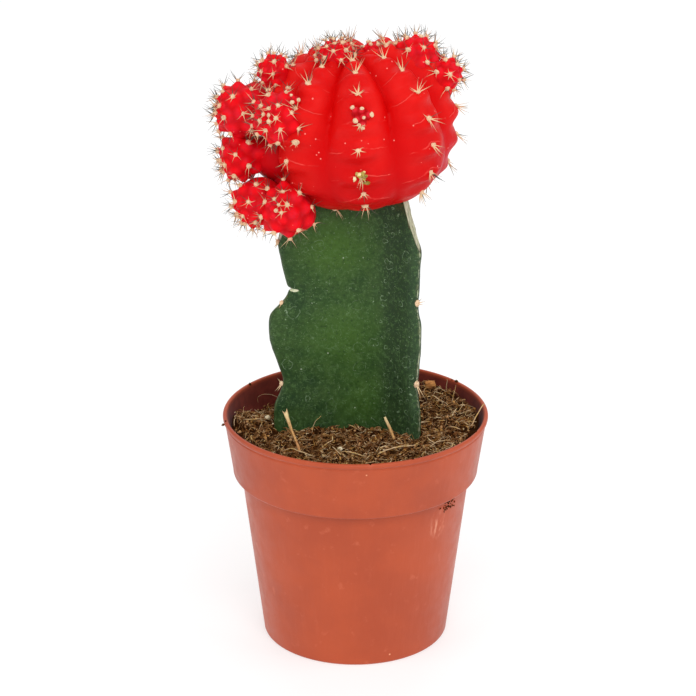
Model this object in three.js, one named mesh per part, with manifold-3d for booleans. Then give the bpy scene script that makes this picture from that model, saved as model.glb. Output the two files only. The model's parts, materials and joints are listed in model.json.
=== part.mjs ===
// A potted moon cactus: a red ribbed globe with its offsets, grafted on a three-ribbed green stem,
// in a small round nursery pot filled with peat. Millimetres, +Z up, +X right, the front faces -Y.
// The origin is the centre of the pot's flat base.
import * as THREE from 'three';
import { mergeVertices } from 'three/addons/utils/BufferGeometryUtils.js';
import Module from 'manifold-3d';

const wasm = await Module();
wasm.setup();

const gap = 0.3; // clearance between pieces that touch on the real plant
const turn = 2 * Math.PI;

// Driving dimensions

const pot = {
  rimRadius: 27.5,
  height: 49.2,
  collarHeight: 13, // from the rim down to the ledge
  collarFootRadius: 25.5,
  bodyTopRadius: 23.8,
  footRadius: 19.4,
  wall: 0.9,
  base: 1.1,
  edge: 0.4, // softening of the rim and of the collar's foot
  drainHoles: 6,
  drainRadius: 2,
  drainCircle: 12.5,
  sides: 48,
};

const peat = {
  level: 45.4, // mean height of the soil's surface
  riseRight: 0.07, // slope of that surface along X and along Y
  riseBack: 0.03,
  heaps: [
    { at: [-8, -2], height: 0.6, reach: 9 }, // heaped against the stem
    { at: [-27, 3], height: 4.2, reach: 7 }, // and against the pot
    { at: [27, -4], height: 1.6, reach: 8 },
    { at: [-17, 16], height: -1.8, reach: 10 }, // washed out at the back
  ],
  clod: 0.42, // height of the clods
  rings: 13,
};

// Each rib runs along heading, in degrees, and is trimmed square to another one; its notches give
// height, reach from the stem's axis and how far the margin bulges out below that notch, and its two
// areoles sit some way below the middle two notches.
const stock = {
  axis: [-0.3, 4.2],
  foot: 26,
  top: 97,
  bevelFoot: 86, // where the knife started to trim the ribs
  trimmedReach: 12.1, // what is left of each rib at the top
  margin: 1.35, // radius of a rib's rounded margin
  ribs: [
    { heading: 79.4, trimHeading: 79.4, drops: [0, 0],
      notches: [[94, 14.4, 1.2], [73.7, 14.2, 1.4], [53.4, 14.4, 1.2], [33.1, 14.2, 0]] },
    { heading: 194.5, trimHeading: 194.5, drops: [2.9, 1.2],
      notches: [[96.2, 13.8, 2.2], [75.9, 13.7, 3.5], [56.4, 15.3, 1.8], [36, 15.6, 0]] },
    { heading: 321.5, trimHeading: 345, drops: [0, 0],
      notches: [[95.5, 16.3, 0.5], [75.4, 16.2, 0.9], [57.8, 16.2, 0.9], [36, 16.2, 0]] },
  ],
  valleys: [[-3.8, 6.6], [5, 0.2], [3.6, 5.2]], // the creases after each rib, going anticlockwise
  crease: 2.5, // how sharply a face turns in at its crease
  facePoints: 6,
  marginPoints: 5,
  levels: 29,
};

// The mother globe. Angles down its ribs are measured from the apex.
const mother = {
  centre: [0.6, 3, 113.5],
  aim: [-0.13, -0.02, 1],
  radius: 19.2,
  up: 12.8,
  down: 19.4,
  square: 2.4, // 2 is an ellipse, more is boxier
  squareBelow: 2.7,
  ribs: 8,
  frontRib: 273, // heading of the first rib
  // ribs counted from the front one, and their headings from it; halves are the grooves
  layout: [[-4, -180], [-1, -42], [-0.5, -22], [0, 0], [0.5, 21.5], [1, 41], [4, 180]],
  // degrees by which they turn aside on the lower half
  twist: [[-4, 0], [-1, -14], [-0.5, -6], [0, -5], [0.5, -3], [1, 3], [4, 0]],
  groove: 0.23,
  lowGroove: 0.15, // share of the grooves' depth on the lower half
  crown: 0.95, // less gives broader ribs and narrower grooves
  ridge: 0.95, // less gives sharper grooves
  dimple: 0.16,
  chin: 0.036,
  firstAreole: 30,
  areoleStep: 16.5,
  areoles: 8,
  around: 48,
};

// The offsets share one shape; each has its centre, its size and the way its apex points.
const offset = {
  up: 0.88,
  down: 1.25,
  square: 2.1,
  squareBelow: 2.1,
  ribs: 7,
  layout: [[-3.5, -180], [3.5, 180]],
  twist: [[0, 0], [1, 0]],
  groove: 0.2,
  lowGroove: 1,
  crown: 0.75,
  ridge: 1,
  dimple: 0.1,
  chin: 0.06,
  firstAreole: 22.5,
  areoleStep: 45,
  areoles: 3,
  around: 14,
};

const neck = { up: 1, groove: 0, chin: 0, areoles: 0 }; // a plain lobe that joins others to the mother

const offsets = [
  { centre: [-23.2, 1.5, 113.8], radius: 5.9, aim: [-0.95, -0.2, 0.2], up: 1 },
  { centre: [-15.2, -8, 115.2], radius: 5.6, aim: [-0.5, -0.8, 0.3] },
  { centre: [-23.4, 0.5, 104.1], radius: 5.2, aim: [-0.93, -0.25, -0.2], down: 1.4 },
  { centre: [-14, -7.5, 96], radius: 5.9, aim: [-0.39, -0.86, 0.34] },
  { centre: [-20.4, -3.8, 95.6], radius: 5.2, aim: [-0.75, -0.35, -0.5] },
  { centre: [-15.5, 2, 104.2], radius: 5.2, aim: [-0.9, -0.3, 0], ...neck },
  { centre: [-16.4, 2.5, 121.8], radius: 3.6, aim: [-0.75, 0.3, 0.55] },
  { centre: [-4, 1, 124.9], radius: 4.2, aim: [-0.15, -0.3, 0.94] },
  { centre: [12.2, 4.5, 124], radius: 5.1, aim: [0.35, 0.4, 0.8] },
  { centre: [18.3, 2.5, 121.2], radius: 3.4, aim: [0.8, 0.4, 0.3] },
  { centre: [1, -14.7, 117.6], radius: 3, aim: [0.05, -0.93, 0.33] },
  { centre: [-11.8, -9.2, 118.6], radius: 2, aim: [-0.5, -0.75, 0.45] },
  { centre: [-9.6, 14.2, 118], radius: 4.5, aim: [-0.45, 0.65, 0.6] },
  { centre: [3, 17.6, 118.8], radius: 4, aim: [0.1, 0.75, 0.65] },
  { centre: [13.4, 14, 116.4], radius: 4.7, aim: [0.6, 0.7, 0.35] },
  { centre: [-15.6, 14.4, 113.4], radius: 5.5, aim: [-0.7, 0.68, 0.2] },
  { centre: [-1, 21.4, 111.6], radius: 5, aim: [-0.05, 0.98, 0.15] },
  { centre: [13.4, 17, 106.6], radius: 4.4, aim: [0.65, 0.75, 0] },
  { centre: [-11.8, 15.8, 101.8], radius: 5.2, aim: [-0.6, 0.72, -0.3] },
  { centre: [-13.2, 1.5, 100.4], radius: 4, aim: [-0.9, -0.3, 0], ...neck },
  { centre: [3.2, 5.5, 124.6], radius: 2.3, aim: [0.1, -0.3, 0.95] },
  { centre: [6.6, 6, 124.3], radius: 2.2, aim: [0.2, -0.2, 0.96] },
];

const spine = {
  length: 3.6, // on the mother; offsets and stem have shorter ones
  offsetLength: 2.5,
  stemLength: 2.8,
  width: 0.22, // radius at the root
  sunk: 0.8,
};

const flowerRest = { rib: 0, areole: 5, radius: 1.2 }; // the dried remnant of a flower

const straws = [
  { name: 'straw_tall', path: [[-10.4, -12.6, 40], [-11.4, -11, 45], [-13.2, -7.6, 48.6], [-14.6, -4.4, 51.4]],
    width: [0.25, 0.27, 0.31, 0.42] },
  { name: 'straw_short', path: [[9.2, -8.2, 42], [8.2, -7.4, 45.4], [7.2, -6.8, 48], [6, -6.4, 50.6]],
    width: [0.3, 0.34, 0.38, 0.34] },
];

const chip = { centre: [15.9, 17.2, 48], length: 3.4, width: 2.4, thickness: 1.6, heading: 20, tilt: 15 };

// Shared helpers

const vector = (list) => new THREE.Vector3(...list);
const radians = (degrees) => (degrees * Math.PI) / 180;

// A repeatable run of numbers from 0 to 1.
function drawsFrom(seed) {
  let state = seed;
  return () => {
    state = (Math.imul(state, 1664525) + 1013904223) >>> 0;
    return state / 4294967296;
  };
}

// One closed skin through rings of points, listed upwards and anticlockwise, with a point at each end.
function skinOf(start, rings, end) {
  const count = rings[0].length;
  const points = [start, ...rings.flat(), end];
  const last = points.length - 1;
  const faces = [];
  for (let i = 0; i < count; i++) {
    const next = (i + 1) % count;
    faces.push(0, 1 + next, 1 + i);
    for (let row = 1; row < rings.length; row++) {
      const low = 1 + (row - 1) * count;
      const high = low + count;
      faces.push(low + i, low + next, high + next, low + i, high + next, high + i);
    }
    const rim = last - count;
    faces.push(rim + i, rim + next, last);
  }
  return { points, faces };
}

function meshFrom({ points, faces }) {
  const geometry = new THREE.BufferGeometry().setFromPoints(points);
  geometry.setIndex(faces);
  return geometry;
}

// A solid to join or cut, from a closed mesh: coincident points are merged and flat-closed faces dropped.
function solidOf(geometry) {
  const bare = geometry.clone();
  bare.deleteAttribute('normal');
  bare.deleteAttribute('uv');
  const merged = mergeVertices(bare, 1e-4);
  const corners = merged.index.array;
  const triVerts = [];
  for (let i = 0; i < corners.length; i += 3) {
    const [a, b, c] = [corners[i], corners[i + 1], corners[i + 2]];
    if (a !== b && b !== c && c !== a) triVerts.push(a, b, c);
  }
  const vertProperties = Float32Array.from(merged.attributes.position.array);
  return new wasm.Manifold(new wasm.Mesh({ numProp: 3, vertProperties, triVerts: Uint32Array.from(triVerts) }));
}

// The mesh of a solid's largest body; cutting can leave loose scraps, which are dropped.
function geometryOf(solid) {
  const bodies = solid.simplify(0.01).decompose();
  const body = bodies.reduce((best, next) => (next.volume() > best.volume() ? next : best));
  const mesh = body.getMesh();
  const geometry = new THREE.BufferGeometry();
  geometry.setAttribute('position', new THREE.BufferAttribute(mesh.vertProperties, 3));
  geometry.setIndex(new THREE.BufferAttribute(mesh.triVerts, 1));
  geometry.computeVertexNormals();
  return geometry;
}

function meshOf(name, geometry, colour, roughness) {
  const material = new THREE.MeshStandardMaterial({ color: colour, roughness, metalness: 0, flatShading: true });
  const mesh = new THREE.Mesh(geometry, material);
  mesh.name = name;
  return mesh;
}

// A round piece from its profile of [radius, height] pairs.
function turned(profile, sides) {
  const lathe = new THREE.LatheGeometry(profile.map(([r, z]) => new THREE.Vector2(r, z)), sides);
  return lathe.rotateX(Math.PI / 2);
}

// Pot

const ledge = pot.height - pot.collarHeight;

function potGeometry() {
  const { rimRadius, height, collarFootRadius, bodyTopRadius, footRadius, wall, base, edge, sides } = pot;
  const outside = [
    [0, 0], [footRadius - edge, 0], [footRadius, edge], [bodyTopRadius, ledge],
    [collarFootRadius - edge, ledge], [collarFootRadius, ledge + edge],
    [rimRadius, height - 2 * edge], [rimRadius - edge, height],
  ];
  const inside = [
    [rimRadius - wall - edge / 2, height], [rimRadius - wall - edge, height - edge],
    [collarFootRadius - wall, ledge + wall], [bodyTopRadius - wall, ledge - edge],
    [footRadius - wall + edge / 2, base], [0, base],
  ];
  let shell = solidOf(turned([...outside, ...inside], sides));
  for (let i = 0; i < pot.drainHoles; i++) {
    const hole = new THREE.CylinderGeometry(pot.drainRadius, pot.drainRadius, 4 * base, 16);
    hole.rotateX(Math.PI / 2);
    hole.translate(pot.drainCircle, 0, 0);
    hole.rotateZ((turn * i) / pot.drainHoles);
    shell = shell.subtract(solidOf(hole));
  }
  return geometryOf(shell);
}

// Radius of the pot's inner wall at a height above the ledge.
function collarInside(z) {
  const share = (z - ledge - pot.wall) / (pot.height - ledge - pot.wall);
  return THREE.MathUtils.lerp(pot.collarFootRadius, pot.rimRadius - pot.edge, share) - pot.wall;
}

// Rootstock

// How far a rib's margin stands from the axis at a height: it swells below each notch, then tapers
// to the next one.
function marginReach(rib, z) {
  let [high, low] = [rib.notches[0], rib.notches[1]];
  for (let i = 1; i < rib.notches.length - 1; i++) {
    if (z <= rib.notches[i][0]) [high, low] = [rib.notches[i], rib.notches[i + 1]];
  }
  const fall = THREE.MathUtils.clamp((high[0] - z) / (high[0] - low[0]), 0, 1);
  const bulge = high[2] * Math.sin(Math.PI * fall ** 0.72) * THREE.MathUtils.smoothstep(fall, 0, 0.3);
  return THREE.MathUtils.lerp(high[1], low[1], fall) + bulge;
}

// The outline of the stem at a height, anticlockwise, grown outwards by a clearance.
function stemRing(z, clearance) {
  const axis = new THREE.Vector2(...stock.axis);
  const ways = stock.ribs.map((rib) => {
    const along = radians(rib.heading);
    return new THREE.Vector2(Math.cos(along), Math.sin(along));
  });
  const margins = stock.ribs.map((rib, i) => {
    const centre = axis.clone().addScaledVector(ways[i], marginReach(rib, z) - stock.margin);
    return Array.from({ length: stock.marginPoints }, (_, k) => {
      const swing = radians(rib.heading - 75 + (150 * k) / (stock.marginPoints - 1));
      return new THREE.Vector2(Math.cos(swing), Math.sin(swing)).multiplyScalar(stock.margin).add(centre);
    });
  });
  const outline = [];
  margins.forEach((margin, i) => {
    const [from, to] = [margin[margin.length - 1], margins[(i + 1) % 3][0]];
    const valley = new THREE.Vector2(...stock.valleys[i]);
    outline.push(...margin);
    for (let k = 1; k <= stock.facePoints; k++) {
      const t = k / (stock.facePoints + 1);
      const [a, b, c] = [(1 - t) ** 2, 2 * stock.crease * t * (1 - t), t * t];
      const point = from.clone().multiplyScalar(a).addScaledVector(valley, b).addScaledVector(to, c);
      outline.push(point.divideScalar(a + b + c));
    }
  });
  const trim = THREE.MathUtils.clamp((z - stock.bevelFoot) / (stock.top - stock.bevelFoot), 0, 1);
  outline.forEach((point) => {
    stock.ribs.forEach((rib) => {
      const along = radians(rib.trimHeading);
      const way = new THREE.Vector2(Math.cos(along), Math.sin(along));
      const slant = Math.cos(along - radians(rib.heading));
      const full = (marginReach(rib, z) - stock.margin) * slant + stock.margin;
      const over = point.clone().sub(axis).dot(way) - THREE.MathUtils.lerp(full, stock.trimmedReach, trim);
      if (over > 0 && trim > 0) point.addScaledVector(way, -over);
    });
  });
  return outline.map((point, i) => {
    const before = outline[(i + outline.length - 1) % outline.length];
    const after = outline[(i + 1) % outline.length];
    const side = after.clone().sub(before).normalize();
    return new THREE.Vector3(point.x + side.y * clearance, point.y - side.x * clearance, z);
  });
}

function stemSolid(clearance) {
  const foot = stock.foot - clearance;
  const top = stock.top + clearance;
  const rings = [];
  for (let i = 0; i < stock.levels; i++) {
    const z = THREE.MathUtils.lerp(stock.foot, stock.top, i / (stock.levels - 1));
    const height = THREE.MathUtils.mapLinear(z, stock.foot, stock.top, foot, top);
    rings.push(stemRing(z, clearance).map((point) => point.setZ(height)));
  }
  const [x, y] = stock.axis;
  return solidOf(meshFrom(skinOf(new THREE.Vector3(x, y, foot), rings, new THREE.Vector3(x, y, top))));
}

// Spines

// A three-sided spine, its root sunk in the flesh, leaning along a direction.
function spineSolid(root, along, length) {
  const across = new THREE.Vector3(along.z, along.x, along.y).cross(along).normalize();
  const start = root.clone().addScaledVector(along, -spine.sunk);
  const base = [0, 1, 2].map((i) => {
    return start.clone().addScaledVector(across.clone().applyAxisAngle(along, (turn * i) / 3), spine.width);
  });
  const tip = root.clone().addScaledVector(along, length);
  return solidOf(meshFrom(skinOf(start, [base], tip)));
}

function stemSpines() {
  const thorns = [];
  stock.ribs.forEach((rib) => {
    const along = radians(rib.heading);
    const outward = new THREE.Vector3(Math.cos(along), Math.sin(along), 0);
    const side = new THREE.Vector3(-outward.y, outward.x, 0);
    rib.drops.forEach((drop, number) => {
      const z = rib.notches[number + 1][0] - drop;
      const root = outward.clone().multiplyScalar(marginReach(rib, z)).add(new THREE.Vector3(...stock.axis, z));
      [[0.6, 0.7], [-0.7, 0.1], [0.3, -0.8]].forEach(([across, up]) => {
        const way = outward.clone().addScaledVector(side, across).setZ(up).normalize();
        thorns.push(spineSolid(root.clone().addScaledVector(way, 0.3), way, spine.stemLength));
      });
    });
  });
  return thorns;
}

// Globes

function globeFrame(globe) {
  const apex = vector(globe.aim).normalize();
  const heading = radians(globe.frontRib);
  const toFront = new THREE.Vector3(Math.cos(heading), Math.sin(heading), 0);
  const front = toFront.addScaledVector(apex, -toFront.dot(apex)).normalize();
  return { apex, front, side: new THREE.Vector3().crossVectors(apex, front) };
}

// A line of straight stretches through [input, output] pairs.
function follow(pairs, value) {
  const last = pairs.length - 1;
  const i = pairs.findIndex(([input], at) => at > 0 && (value <= input || at === last));
  return THREE.MathUtils.mapLinear(value, pairs[i - 1][0], pairs[i][0], pairs[i - 1][1], pairs[i][1]);
}

// Distance from a globe's centre to its skin, at a number of ribs from the front one and an angle down
// from the apex: a boxy ellipse, cut by grooves between the ribs, dimpled at the apex, with a chin at
// each areole.
function skinReach(globe, count, fall) {
  const [height, square] = fall < Math.PI / 2 ? [globe.up, globe.square] : [globe.down, globe.squareBelow];
  const wide = (Math.sin(fall) / globe.radius) ** square;
  const tall = (Math.abs(Math.cos(fall)) / height) ** square;
  const plain = (wide + tall) ** (-1 / square);
  const crest = Math.abs(Math.cos(Math.PI * count));
  const depth = globe.groove * THREE.MathUtils.lerp(1, globe.lowGroove, THREE.MathUtils.smoothstep(fall, 1.2, 2.3));
  const groove = depth * Math.sin(fall) ** 0.7 * (1 - crest ** globe.crown) ** globe.ridge;
  const rib = Math.round(count);
  const step = radians(globe.areoleStep);
  const phase = (fall - areoleFall(globe, rib, 0)) / step;
  const within = phase > -0.5 && phase < globe.areoles - 0.5 ? 1 : 0;
  const faded = 1 - THREE.MathUtils.smoothstep(fall, 2.2, 2.5);
  const chin = globe.chin * faded * within * crest ** 2 * Math.cos(turn * (phase - 0.12));
  const dimple = globe.dimple * Math.exp(-((fall / 0.32) ** 2));
  return plain * (1 - groove) * (1 + chin) * (1 - dimple);
}

// Every second rib has its areoles half a step lower.
function areoleFall(globe, rib, number) {
  const stagger = Math.abs(rib % 2) === 1 ? 0.5 : 0;
  return radians(globe.firstAreole + globe.areoleStep * (number + stagger));
}

// Degrees from a globe's front rib to a place counted in ribs from it.
function headingOf(globe, count, fall) {
  return follow(globe.layout, count) + follow(globe.twist, count) * THREE.MathUtils.smoothstep(fall, 1.1, 1.9);
}

function skinPoint(globe, count, fall) {
  const { apex, front, side } = globe.frame;
  const swing = radians(headingOf(globe, count, fall));
  const reach = skinReach(globe, count, fall);
  return vector(globe.centre)
    .addScaledVector(apex, reach * Math.cos(fall))
    .addScaledVector(front, reach * Math.sin(fall) * Math.cos(swing))
    .addScaledVector(side, reach * Math.sin(fall) * Math.sin(swing));
}

function isInside(globe, point, margin) {
  const { apex, front, side } = globe.frame;
  const from = point.clone().sub(vector(globe.centre));
  const fall = Math.acos(THREE.MathUtils.clamp(from.dot(apex) / from.length(), -1, 1));
  const heading = Math.atan2(from.dot(side), from.dot(front)) / radians(1);
  const count = follow(globe.layout.map(([ribs]) => [headingOf(globe, ribs, fall), ribs]), heading);
  return from.length() < skinReach(globe, count, fall) + margin;
}

// The falls of a globe's rings of points, from the bottom up: half a step apart, so that every areole
// is a point of the skin.
function ringFalls(globe) {
  const half = globe.areoleStep / 2;
  const first = globe.firstAreole % half || half;
  const count = Math.ceil((180 - first) / half);
  return Array.from({ length: count }, (_, i) => radians(first + half * (count - 1 - i)));
}

// The mother and every offset, as full descriptions; an offset's turn about its axis is drawn by lot.
function allGlobes() {
  const draw = drawsFrom(7);
  const list = [{ ...mother, spineLength: spine.length, spines: 4 }];
  offsets.forEach((one) => {
    const shape = { ...offset, spineLength: spine.offsetLength, spines: 1, frontRib: 360 * draw(), ...one };
    list.push({ ...shape, up: shape.radius * shape.up, down: shape.radius * shape.down });
  });
  return list.map((globe) => ({ ...globe, frame: globeFrame(globe) }));
}

// Every areole of a globe by the number of its point in the skin: its fall and its place on the rings.
function areolesOf(globe, falls) {
  const places = new Map();
  for (let rib = 0; rib < globe.ribs; rib++) {
    for (let number = 0; number < globe.areoles; number++) {
      const fall = areoleFall(globe, rib, number);
      const row = falls.findIndex((one) => Math.abs(one - fall) < 1e-6);
      if (row >= 0) places.set(1 + row * globe.around + (rib * globe.around) / globe.ribs, fall);
    }
  }
  return places;
}

// Grows a three-sided spine out of one face of the skin, near the face's first corner, the areole.
// The face becomes a frame round the spine's root.
function growSpine(skin, face, tip) {
  const [a, b, c] = face.map((corner) => skin.points[corner]);
  const root = a.clone().multiplyScalar(0.56).addScaledVector(b, 0.22).addScaledVector(c, 0.22);
  const inner = face.map((corner) => {
    const inward = skin.points[corner].clone().sub(root);
    return skin.points.push(root.clone().addScaledVector(inward.setLength(1), spine.width)) - 1;
  });
  const end = skin.points.push(tip) - 1;
  for (let i = 0; i < 3; i++) {
    const [next, low, high] = [(i + 1) % 3, inner[i], inner[(i + 1) % 3]];
    skin.faces.push(face[i], face[next], high, face[i], high, low, low, high, end);
  }
}

// The faces that meet at an areole, each turned to start there, with the way its spine would lean.
function facesAt(skin, point) {
  const found = [];
  for (let i = 0; i < skin.faces.length; i += 3) {
    const face = skin.faces.slice(i, i + 3);
    const at = face.indexOf(point);
    if (at >= 0) {
      const turned = [...face.slice(at), ...face.slice(0, at)];
      const [a, b, c] = turned.map((corner) => skin.points[corner]);
      const flat = b.clone().add(c).multiplyScalar(0.5).sub(a).normalize();
      found.push({ start: i, face: turned, flat });
    }
  }
  return found;
}

// One globe with its spines. An areole's spines fan up its rib near the apex and down it lower;
// those that a neighbour's flesh covers are left out.
function globeSolid(globe, others, draw) {
  const falls = ringFalls(globe);
  const rings = falls.map((fall) => Array.from({ length: globe.around }, (_, i) => {
    const count = (globe.ribs * i) / globe.around;
    return skinPoint(globe, count > globe.ribs / 2 ? count - globe.ribs : count, fall);
  }));
  const skin = skinOf(skinPoint(globe, 0, Math.PI), rings, skinPoint(globe, 0, 0));
  const used = new Set();
  areolesOf(globe, falls).forEach((fall, point) => {
    const root = skin.points[point];
    const outward = root.clone().sub(vector(globe.centre)).normalize();
    const lean = fall < radians(72) ? 1 : -1;
    const faces = facesAt(skin, point);
    faces.forEach((one) => { one.rank = lean * one.flat.dot(globe.frame.apex) + 0.8 * draw(); });
    faces.sort((one, two) => two.rank - one.rank);
    faces.slice(0, globe.spines).forEach(({ start, face, flat }) => {
      const way = flat.multiplyScalar(globe.spines > 1 ? 1 : 0.4).addScaledVector(outward, 0.8).normalize();
      const tip = root.clone().addScaledVector(way, globe.spineLength * (0.8 + 0.3 * draw()));
      const covered = others.some((other) => isInside(other, root, 0.5) || isInside(other, tip, 0.4));
      if (covered) return;
      growSpine(skin, face, tip);
      used.add(start);
    });
  });
  skin.faces = skin.faces.filter((_, i) => !used.has(i - (i % 3)));
  return solidOf(meshFrom(skin));
}

function flowerRestSolid(globe) {
  const place = skinPoint(globe, flowerRest.rib, areoleFall(globe, flowerRest.rib, flowerRest.areole));
  const knob = new THREE.SphereGeometry(flowerRest.radius, 7, 5);
  return solidOf(knob.translate(place.x, place.y, place.z));
}

function scionGeometry() {
  const globes = allGlobes();
  const draw = drawsFrom(19);
  const pieces = globes.map((globe) => globeSolid(globe, globes.filter((other) => other !== globe), draw));
  pieces.push(flowerRestSolid(globes[0]));
  return geometryOf(wasm.Manifold.union(pieces).subtract(stemSolid(gap)));
}

// Straws and bark chip

function strawSolid(straw, clearance) {
  const path = new THREE.CatmullRomCurve3(straw.path.map(vector));
  const rings = straw.path.map((_, i) => {
    const share = i / (straw.path.length - 1);
    const along = path.getTangentAt(share);
    const across = new THREE.Vector3(0, 1, 0).cross(along).normalize();
    return [0, 1, 2, 3, 4, 5].map((k) => {
      const spoke = across.clone().applyAxisAngle(along, (turn * k) / 6);
      return path.getPointAt(share).addScaledVector(spoke, straw.width[i] + clearance);
    });
  });
  const start = path.getPointAt(0).addScaledVector(path.getTangentAt(0), -clearance);
  return solidOf(meshFrom(skinOf(start, rings, path.getPointAt(1))));
}

function chipSolid(clearance) {
  const draw = drawsFrom(5);
  const ring = (height, share) => Array.from({ length: 7 }, (_, i) => {
    const swing = (turn * i) / 7;
    const rough = 0.8 + 0.35 * draw();
    const x = (chip.length / 2) * Math.cos(swing) * rough * share + clearance * Math.cos(swing);
    const y = (chip.width / 2) * Math.sin(swing) * rough * share + clearance * Math.sin(swing);
    return new THREE.Vector3(x, y, height);
  });
  const half = chip.thickness / 2 + clearance;
  const rings = [ring(-half, 0.7), ring(0, 1), ring(half, 0.75)];
  const body = meshFrom(skinOf(new THREE.Vector3(0, 0, -half), rings, new THREE.Vector3(0, 0, half)));
  body.rotateX(radians(chip.tilt));
  body.rotateZ(radians(chip.heading));
  body.translate(...chip.centre);
  return solidOf(body);
}

// Soil

// Height of the soil's surface: a gentle slope, its heaps, and clods from crossing waves.
function soilTop(x, y) {
  const heaps = peat.heaps.reduce((sum, { at, height, reach }) => {
    return sum + height * Math.exp(-((Math.hypot(x - at[0], y - at[1]) / reach) ** 2));
  }, 0);
  const clods = Math.sin(0.75 * x + 1.3) * Math.cos(0.68 * y - 0.4)
    + 0.6 * Math.sin(1.35 * x - 0.95 * y) + 0.5 * Math.cos(1.7 * y + 0.9 * x + 2);
  return peat.level + peat.riseRight * x + peat.riseBack * y + heaps + peat.clod * clods;
}

function soilGeometry() {
  const { base, wall, footRadius, bodyTopRadius, collarFootRadius, edge, sides } = pot;
  const circle = (radius, heightAt) => Array.from({ length: sides }, (_, i) => {
    const swing = (turn * i) / sides;
    const [x, y] = [radius * Math.cos(swing), radius * Math.sin(swing)];
    return new THREE.Vector3(x, y, heightAt(x, y));
  });
  const rings = [
    circle(footRadius - wall - gap, () => base + gap),
    circle(bodyTopRadius - wall - gap, () => ledge),
    circle(collarFootRadius - wall - gap, () => ledge + wall + gap),
  ];
  const rim = collarInside(peat.level - 2) - gap;
  for (let i = 0; i < peat.rings; i++) rings.push(circle(rim * (1 - i / peat.rings), soilTop));
  const foot = new THREE.Vector3(0, 0, base + gap);
  let soil = solidOf(meshFrom(skinOf(foot, rings, new THREE.Vector3(0, 0, soilTop(0, 0)))));
  soil = soil.subtract(stemSolid(gap));
  straws.forEach((straw) => { soil = soil.subtract(strawSolid(straw, gap)); });
  return geometryOf(soil.subtract(chipSolid(gap)));
}

// Assembly

const cactus = new THREE.Group();
cactus.name = 'potted_moon_cactus';
cactus.add(
  meshOf('pot', potGeometry(), 0xbe5a3c, 0.45),
  meshOf('soil', soilGeometry(), 0x2e211a, 1),
  meshOf('rootstock', geometryOf(wasm.Manifold.union([stemSolid(0), ...stemSpines()])), 0x24502a, 0.5),
  meshOf('scion', scionGeometry(), 0xe0161b, 0.35),
  ...straws.map((straw) => meshOf(straw.name, geometryOf(strawSolid(straw, 0)), 0xb98a52, 0.8)),
  meshOf('bark_chip', geometryOf(chipSolid(0)), 0x9c5a2c, 0.85),
);

export default cactus;
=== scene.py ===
import json
import math

import bpy
import numpy as np
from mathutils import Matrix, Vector
from mathutils.bvhtree import BVHTree

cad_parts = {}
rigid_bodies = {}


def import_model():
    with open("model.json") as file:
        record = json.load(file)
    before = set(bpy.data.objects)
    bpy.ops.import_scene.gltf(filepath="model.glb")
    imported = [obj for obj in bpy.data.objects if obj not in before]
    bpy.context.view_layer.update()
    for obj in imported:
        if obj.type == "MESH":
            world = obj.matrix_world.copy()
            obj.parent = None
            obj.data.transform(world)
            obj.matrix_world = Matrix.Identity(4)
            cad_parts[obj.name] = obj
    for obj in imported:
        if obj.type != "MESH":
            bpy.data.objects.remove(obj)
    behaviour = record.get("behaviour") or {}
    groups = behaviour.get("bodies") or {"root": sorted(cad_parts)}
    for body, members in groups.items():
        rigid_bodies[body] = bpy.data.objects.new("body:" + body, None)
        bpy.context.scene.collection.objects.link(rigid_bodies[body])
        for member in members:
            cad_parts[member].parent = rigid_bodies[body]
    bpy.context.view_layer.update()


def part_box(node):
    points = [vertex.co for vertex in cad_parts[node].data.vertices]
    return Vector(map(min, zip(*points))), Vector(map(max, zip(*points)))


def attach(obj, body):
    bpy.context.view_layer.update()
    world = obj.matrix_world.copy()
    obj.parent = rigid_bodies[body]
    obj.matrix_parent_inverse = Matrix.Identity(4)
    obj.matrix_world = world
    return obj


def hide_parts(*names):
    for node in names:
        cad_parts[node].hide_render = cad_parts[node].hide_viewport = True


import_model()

# A potted moon cactus. Every shape is worked out in millimetres, +Z up and the front facing -Y,
# and is laid down in metres.
mm = 0.001
fullTurn = 2 * math.pi
goldenAngle = math.pi * (3 - math.sqrt(5))
draw = np.random.default_rng(23)  # the pieces draw from it in turn, so their order matters


def nodeBox(name):
    # Its lowest and highest corner
    return np.array(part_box(name)) / mm


potHigh = nodeBox("pot")[1]
stemLow = nodeBox("rootstock")[0]
chipLow, chipHigh = nodeBox("bark_chip")


# Helpers for arrays of points

def unit(vectors):
    # Each vector over its length
    return vectors / np.linalg.norm(vectors, axis=-1, keepdims=True)


def lerp(start, end, share):
    return start + (end - start) * share


def circle(angle):
    # Where angles lie on a circle of radius 1
    return np.stack([np.cos(angle), np.sin(angle)], axis=-1)


def evenAngles(count):
    # Even steps round the whole turn, from 0
    return fullTurn * np.arange(count) / count


def easeBetween(low, high, value):
    # 0 below low, 1 above high, and a smooth rise between them
    share = np.clip((value - low) / (high - low), 0, 1)
    return share * share * (3 - 2 * share)


cloudTable = np.random.default_rng(11).random((24, 24, 24))


def cloud(points, size):
    # Random numbers on a cubic lattice of that size, eased between the eight corners round each point,
    # and brought to the range -1 to 1
    place = np.asarray(points) / size
    cell = np.floor(place).astype(int)
    share = place - cell
    share = share * share * (3 - 2 * share)
    total = 0
    for corner in np.ndindex(2, 2, 2):
        weight = np.prod(np.where(corner, share, 1 - share), axis=-1)
        i, j, k = np.moveaxis((cell + corner) % len(cloudTable), -1, 0)
        total = total + weight * cloudTable[i, j, k]
    return 2 * total - 1


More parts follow.
